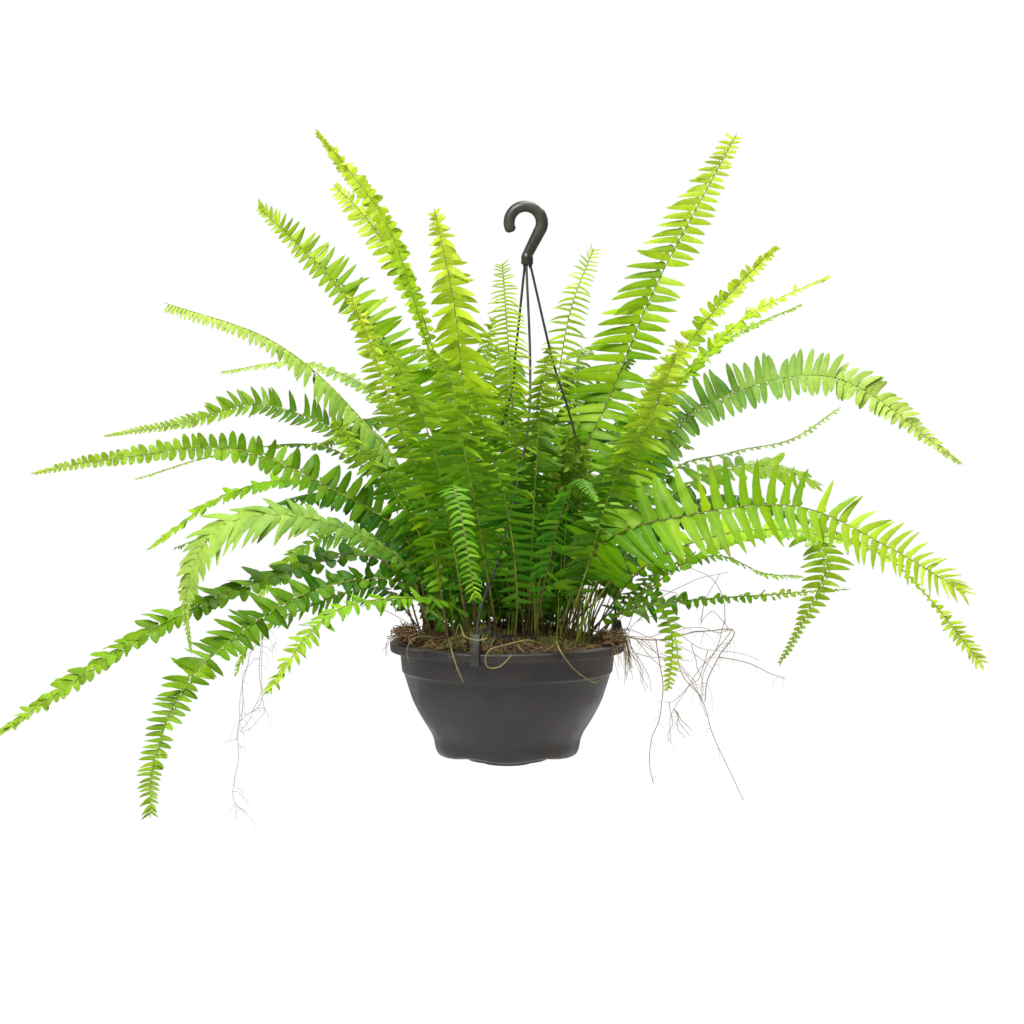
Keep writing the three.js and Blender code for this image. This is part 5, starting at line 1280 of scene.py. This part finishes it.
def add_leaflets(shape, rng, longest, side, at, share, line, frames, grow):
    """All leaflets on one side of a frond, as thin closed blades."""
    n = len(at)
    along, upper, left = (sample(rows, at) for rows in frames)

    def stray(key):
        return rng.normal(0, STRAY[key] * grow["loose"], (n, 1))

    def ranging(key):
        return between(grow[key], share)[:, None]

    knots = np.linspace(0, 1, len(grow["lengths"]))
    length = FULLNESS[0] * longest * np.interp(share, knots, grow["lengths"])
    length = (length * rng.uniform(0.9, 1.05, n))[:, None]
    width = FULLNESS[1] * ranging("breadth") * pitch_at(share, grow["pitch"])[:, None]
    width = np.minimum(width * rng.uniform(0.9, 1.1, (n, 1)), 0.85 * length)

    sweep = between(grow["sweep"], share ** 2) + TIP_CLOSING * np.clip((share - 0.9) / 0.1, 0, 1)
    sweep = np.radians(sweep[:, None] + ranging("skew") * side) + stray("sweep")
    lift = np.radians(grow["lift"]) + stray("lift")
    heading = left * side * np.cos(lift) + upper * np.sin(lift)
    heading = heading * np.cos(sweep) + along * np.sin(sweep)
    heading = unit(heading - UP * dot(heading, UP) * grow["flat"])
    level_share = np.sqrt(np.clip(1 - dot(heading, UP) ** 2, 0, 1))
    heading = unit(heading - UP * grow["hang"] * level_share)
    start = sample(line, at) + left * side * (between(RIB_WIDTH, share)[:, None] * 0.2)

    droop = grow["droop"] * (1 + stray("droop")) * level_share
    curl = grow["curl"] * (1 + stray("curl"))
    twist = stray("twist")
    wave, phase = 0.05 * rng.uniform(0.4, 1.3, (n, 1)), rng.random((n, 1)) * 2 * math.pi
    crown = rng.normal(0.16, 0.08, (n, 1))
    rows, centre, previous = [], start, 0.0
    for j, t in enumerate(STATIONS):
        ahead = unit(heading + along * curl * 2 * t - UP * droop * 1.6 * t)
        centre = centre + ahead * length * (t - previous)
        previous = t
        face = unit(upper - ahead * dot(upper, ahead))
        level = unit(UP - ahead * dot(UP, ahead))
        level = level * np.where(dot(level, face) < 0, -1, 1)
        face = unit(face * (1 - grow["level"]) + level * grow["level"])
        across = np.cross(ahead, face) * side
        turn = twist * (0.3 + t)
        across, face = (across * np.cos(turn) + face * np.sin(turn),
                        face * np.cos(turn) - across * np.sin(turn))
        half = outline_width(np.array(t), grow["blunt"]) * width / 2
        ear = 1 + 0.5 * math.exp(-(((t - 0.08) / 0.06) ** 2))
        notch = 0.03 * (-1) ** j
        ripple = np.sin(t * 11 + phase) * wave * width - crown * half
        thick = BLADE_THICKNESS / 2 * (1 - 0.75 * t)
        rows += [centre + across * half * (ear + notch) + face * ripple, centre + face * thick,
                 centre - across * half * (1 - notch) + face * ripple, centre - face * thick]
    tip = centre + ahead * length * (1 - previous)
    points = np.stack([*rows, tip], axis=1)

    edges = len(rows)
    place = np.zeros(points.shape)
    place[:, 0:edges:4, 0] = 1
    place[:, 2:edges:4, 0] = -1
    place[..., 1] = [*np.repeat(STATIONS, 4), 1]
    tint = np.zeros(points.shape)
    # Painted shade: leaflets whose foot is near the crown's middle get a darker tone, less the
    # farther they are.
    shaded = np.clip(1.15 - np.linalg.norm(start - CROWN, axis=1) / CROWN_REACH, 0, 1)[:, None]
    tone = ranging("tone") * (1 - shaded) + rng.normal(0, TONE_STRAY, (n, 1))
    youth = np.clip((share - 0.5) / 0.5, 0, 1) ** 1.3 * grow["youth"]
    dryness = np.where(rng.random(n) < DRY_LEAFLETS, rng.uniform(0.1, 0.6, n), 0)
    tint[..., 0] = np.clip(tone, 0, 1)
    tint[..., 1] = np.clip(youth, 0, 1)[:, None]
    tint[..., 2] = dryness[:, None]
    step = np.arange(n)[:, None, None] * (edges + 1)
    quads, ends = blade_faces(side)
    faces = [(quads + step).reshape(-1, 4), (ends + step).reshape(-1, 3)]
    shape.add(points, faces, 0, place.reshape(-1, 3), tint.reshape(-1, 3))


def add_rib(shape, rng, line, frames, grow):
    """The stem and rib: an oval bar with a channel down its upper side."""
    along, upper, left = frames
    share = np.linspace(0, 1, len(line))
    wide = (between(RIB_WIDTH, share ** 0.8) / 2)[:, None]
    thick = (between(RIB_THICKNESS, share ** 0.8) / 2)[:, None]
    rings = np.stack([line + left * (a * wide) + upper * (b * thick) for a, b in RIB_OUTLINE],
                     axis=1)
    tone = np.clip(grow["rib"] * np.minimum(1, share * 3.2 + 0.15) + 0.5 * (share - 0.4), 0, 1)
    tint = np.zeros((len(line) * len(RIB_OUTLINE) + 2, 3))
    tint[:, 0] = [*np.repeat(tone, len(RIB_OUTLINE)), tone[0], tone[-1]]
    skin(shape, rings, line[0], line[-1] + along[-1] * 0.6, finish=1, tint=tint)
    for _ in range(RIB_HAIRS):
        i = rng.integers(2, max(4, int(len(line) * 0.3)))
        out = unit(left[i] * rng.normal() + upper[i] * rng.normal() + along[i] * 0.5)
        root = line[i] + unit(out - along[i] * np.dot(out, along[i])) * 0.9
        reach = rng.uniform(2, 5)
        bend = root + out * reach * 0.5 + along[i] * 0.4
        tube(shape, [root, bend, root + out * reach + UP * -0.8], [0.28, 0.2, 0.06], 3,
             finish=1, tint=(0.0, 0.5, 0))


def grow_frond(shape, rng, root, leaflet, turn, path, grow, steps=FROND_STEPS):
    """A whole frond: its leaflets in pairs, a little out of step, and its rib."""
    line = stem_line(root, path, steps)
    frames = frond_frames(line, turn)
    blade = float(np.linalg.norm(np.diff(line[1:], axis=0), axis=1).sum()) * (1 - grow["bare"])
    pairs = pair_shares(blade, grow["pitch"])
    for side, share_of_longest in zip((1, -1), grow["sides"]):
        lag = 0 if side > 0 else 0.4 * pitch_at(pairs, grow["pitch"]) / blade
        share = np.minimum(pairs + lag, 0.998)
        share = share[(rng.random(len(share)) > LOST_LEAFLETS) | (share > 0.9)]
        at = 1 + (grow["bare"] + (1 - grow["bare"]) * share) * (len(line) - 2)
        longest = leaflet * share_of_longest
        add_leaflets(shape, rng, longest, side, at, share, line, frames, grow)
    add_rib(shape, rng, line, frames, grow)


def build_fronds():
    """The fronds of the photograph, and the tufts on the far side as one shape each."""
    shapes = {}
    for index, (node, slot, *row, growth) in enumerate(all_fronds()):
        shape = shapes.setdefault(node, (Shape(), slot))[0]
        grow_frond(shape, np.random.default_rng([SEED, index]), *row, {**GROWTH, **growth})
    for node, (shape, slot) in shapes.items():
        shape.make(node + "_leaves", [LEAVES[slot], STEM_SKIN], slot, [node], crease=70)


def build_low_fronds(rng):
    """Short fronds low in the crown, shaded by the long ones."""
    shape = Shape()
    for count, *ranges in LOW_FRONDS:
        for _ in range(count):
            x, y, height, reach, turn = (rng.uniform(*pair) for pair in ranges)
            out = unit(np.array([x + 10, y, 0]) + rng.normal(0, 25, 3) * (1, 1, 0))
            base = np.array([x, y, SOIL_CENTRE - 5.0])
            path = [base + out * reach * 0.3 + UP * height * 0.6, base + out * reach + UP * height]
            grow_frond(shape, rng, (x, y), rng.uniform(*LOW_LEAFLETS), turn, path,
                       {**GROWTH, **LOW_GROWTH}, LOW_STEPS)
    shape.make("low_fronds", [LEAVES["leaf_deep"], STEM_SKIN], "leaf_deep", crease=70)


# Floor, light and camera

def white_to_camera(tree, shader, output):
    """Mixes a shader with plain white light, which only the camera sees."""
    path = add_node(tree, "LightPath")
    white = add_node(tree, "Emission", {"Color": (1, 1, 1), "Strength": 1.0})
    mix_shaders(tree, path.outputs["Is Camera Ray"], shader, white.outputs[0], output)


def build_stage():
    """A wide pale floor under the hanging plant, and a white surround."""
    material, tree, surface = new_material("floor_pale", 0.9)
    feed(tree, surface["Base Color"], (FLOOR_GREY,) * 3)
    white_to_camera(tree, tree.nodes["Principled BSDF"].outputs[0], "Material Output")
    mesh = bpy.data.meshes.new("floor")
    low = -(SEAT[2] + FLOOR_DROP) / 1000
    corners = [(FLOOR_REACH * x, FLOOR_REACH * y, low)
               for x, y in ((-1, -1), (1, -1), (1, 1), (-1, 1))]
    mesh.from_pydata(corners, [], [(0, 1, 2, 3)])
    mesh.materials.append(material)
    floor = show("floor", mesh)
    world = bpy.data.worlds.new("studio")
    world.use_nodes = True
    surround = world.node_tree.nodes["Background"]
    feed(world.node_tree, surround.inputs["Color"], (1, 1, 1))
    feed(world.node_tree, surround.inputs["Strength"], SURROUND_STRENGTH)
    white_to_camera(world.node_tree, surround.outputs[0], "World Output")
    bpy.context.scene.world = world
    bpy.context.scene.view_settings.view_transform = "Standard"


def aimed(holder, direction):
    holder.rotation_euler = Vector(direction).to_track_quat("-Z", "Y").to_euler()


def add_lamp(name, place, aim, size, power):
    """A soft square lamp that faces its aim."""
    lamp = bpy.data.lights.new(name, "AREA")
    lamp.size = size
    lamp.energy = power
    holder = show(name, lamp)
    holder.location = place
    aimed(holder, np.array(aim) - np.array(place))


def add_camera():
    lens = bpy.data.cameras.new("camera")
    lens.sensor_width = SENSOR
    lens.lens = SENSOR * FOCAL / PICTURE
    camera = show("camera", lens)
    camera.location = (EYE - SEAT) / 1000
    aimed(camera, AIM - EYE)
    bpy.context.scene.camera = camera


add_camera()
build_stage()
for lamp_name, lamp_row in LAMPS.items():
    add_lamp(lamp_name, *lamp_row)

build_pot()
build_soil(np.random.default_rng(SEED))
build_crumbs(np.random.default_rng(SEED + 1))
build_hook()
for rod in RODS:
    build_rod(*rod)
build_runners(np.random.default_rng(SEED + 2))
build_sprays(np.random.default_rng(SEED + 3))
build_root_mat(np.random.default_rng(SEED + 4))
build_old_stems(np.random.default_rng(SEED + 5))
build_fronds()
build_low_fronds(np.random.default_rng(SEED + 6))
build_moss(np.random.default_rng(SEED + 7))
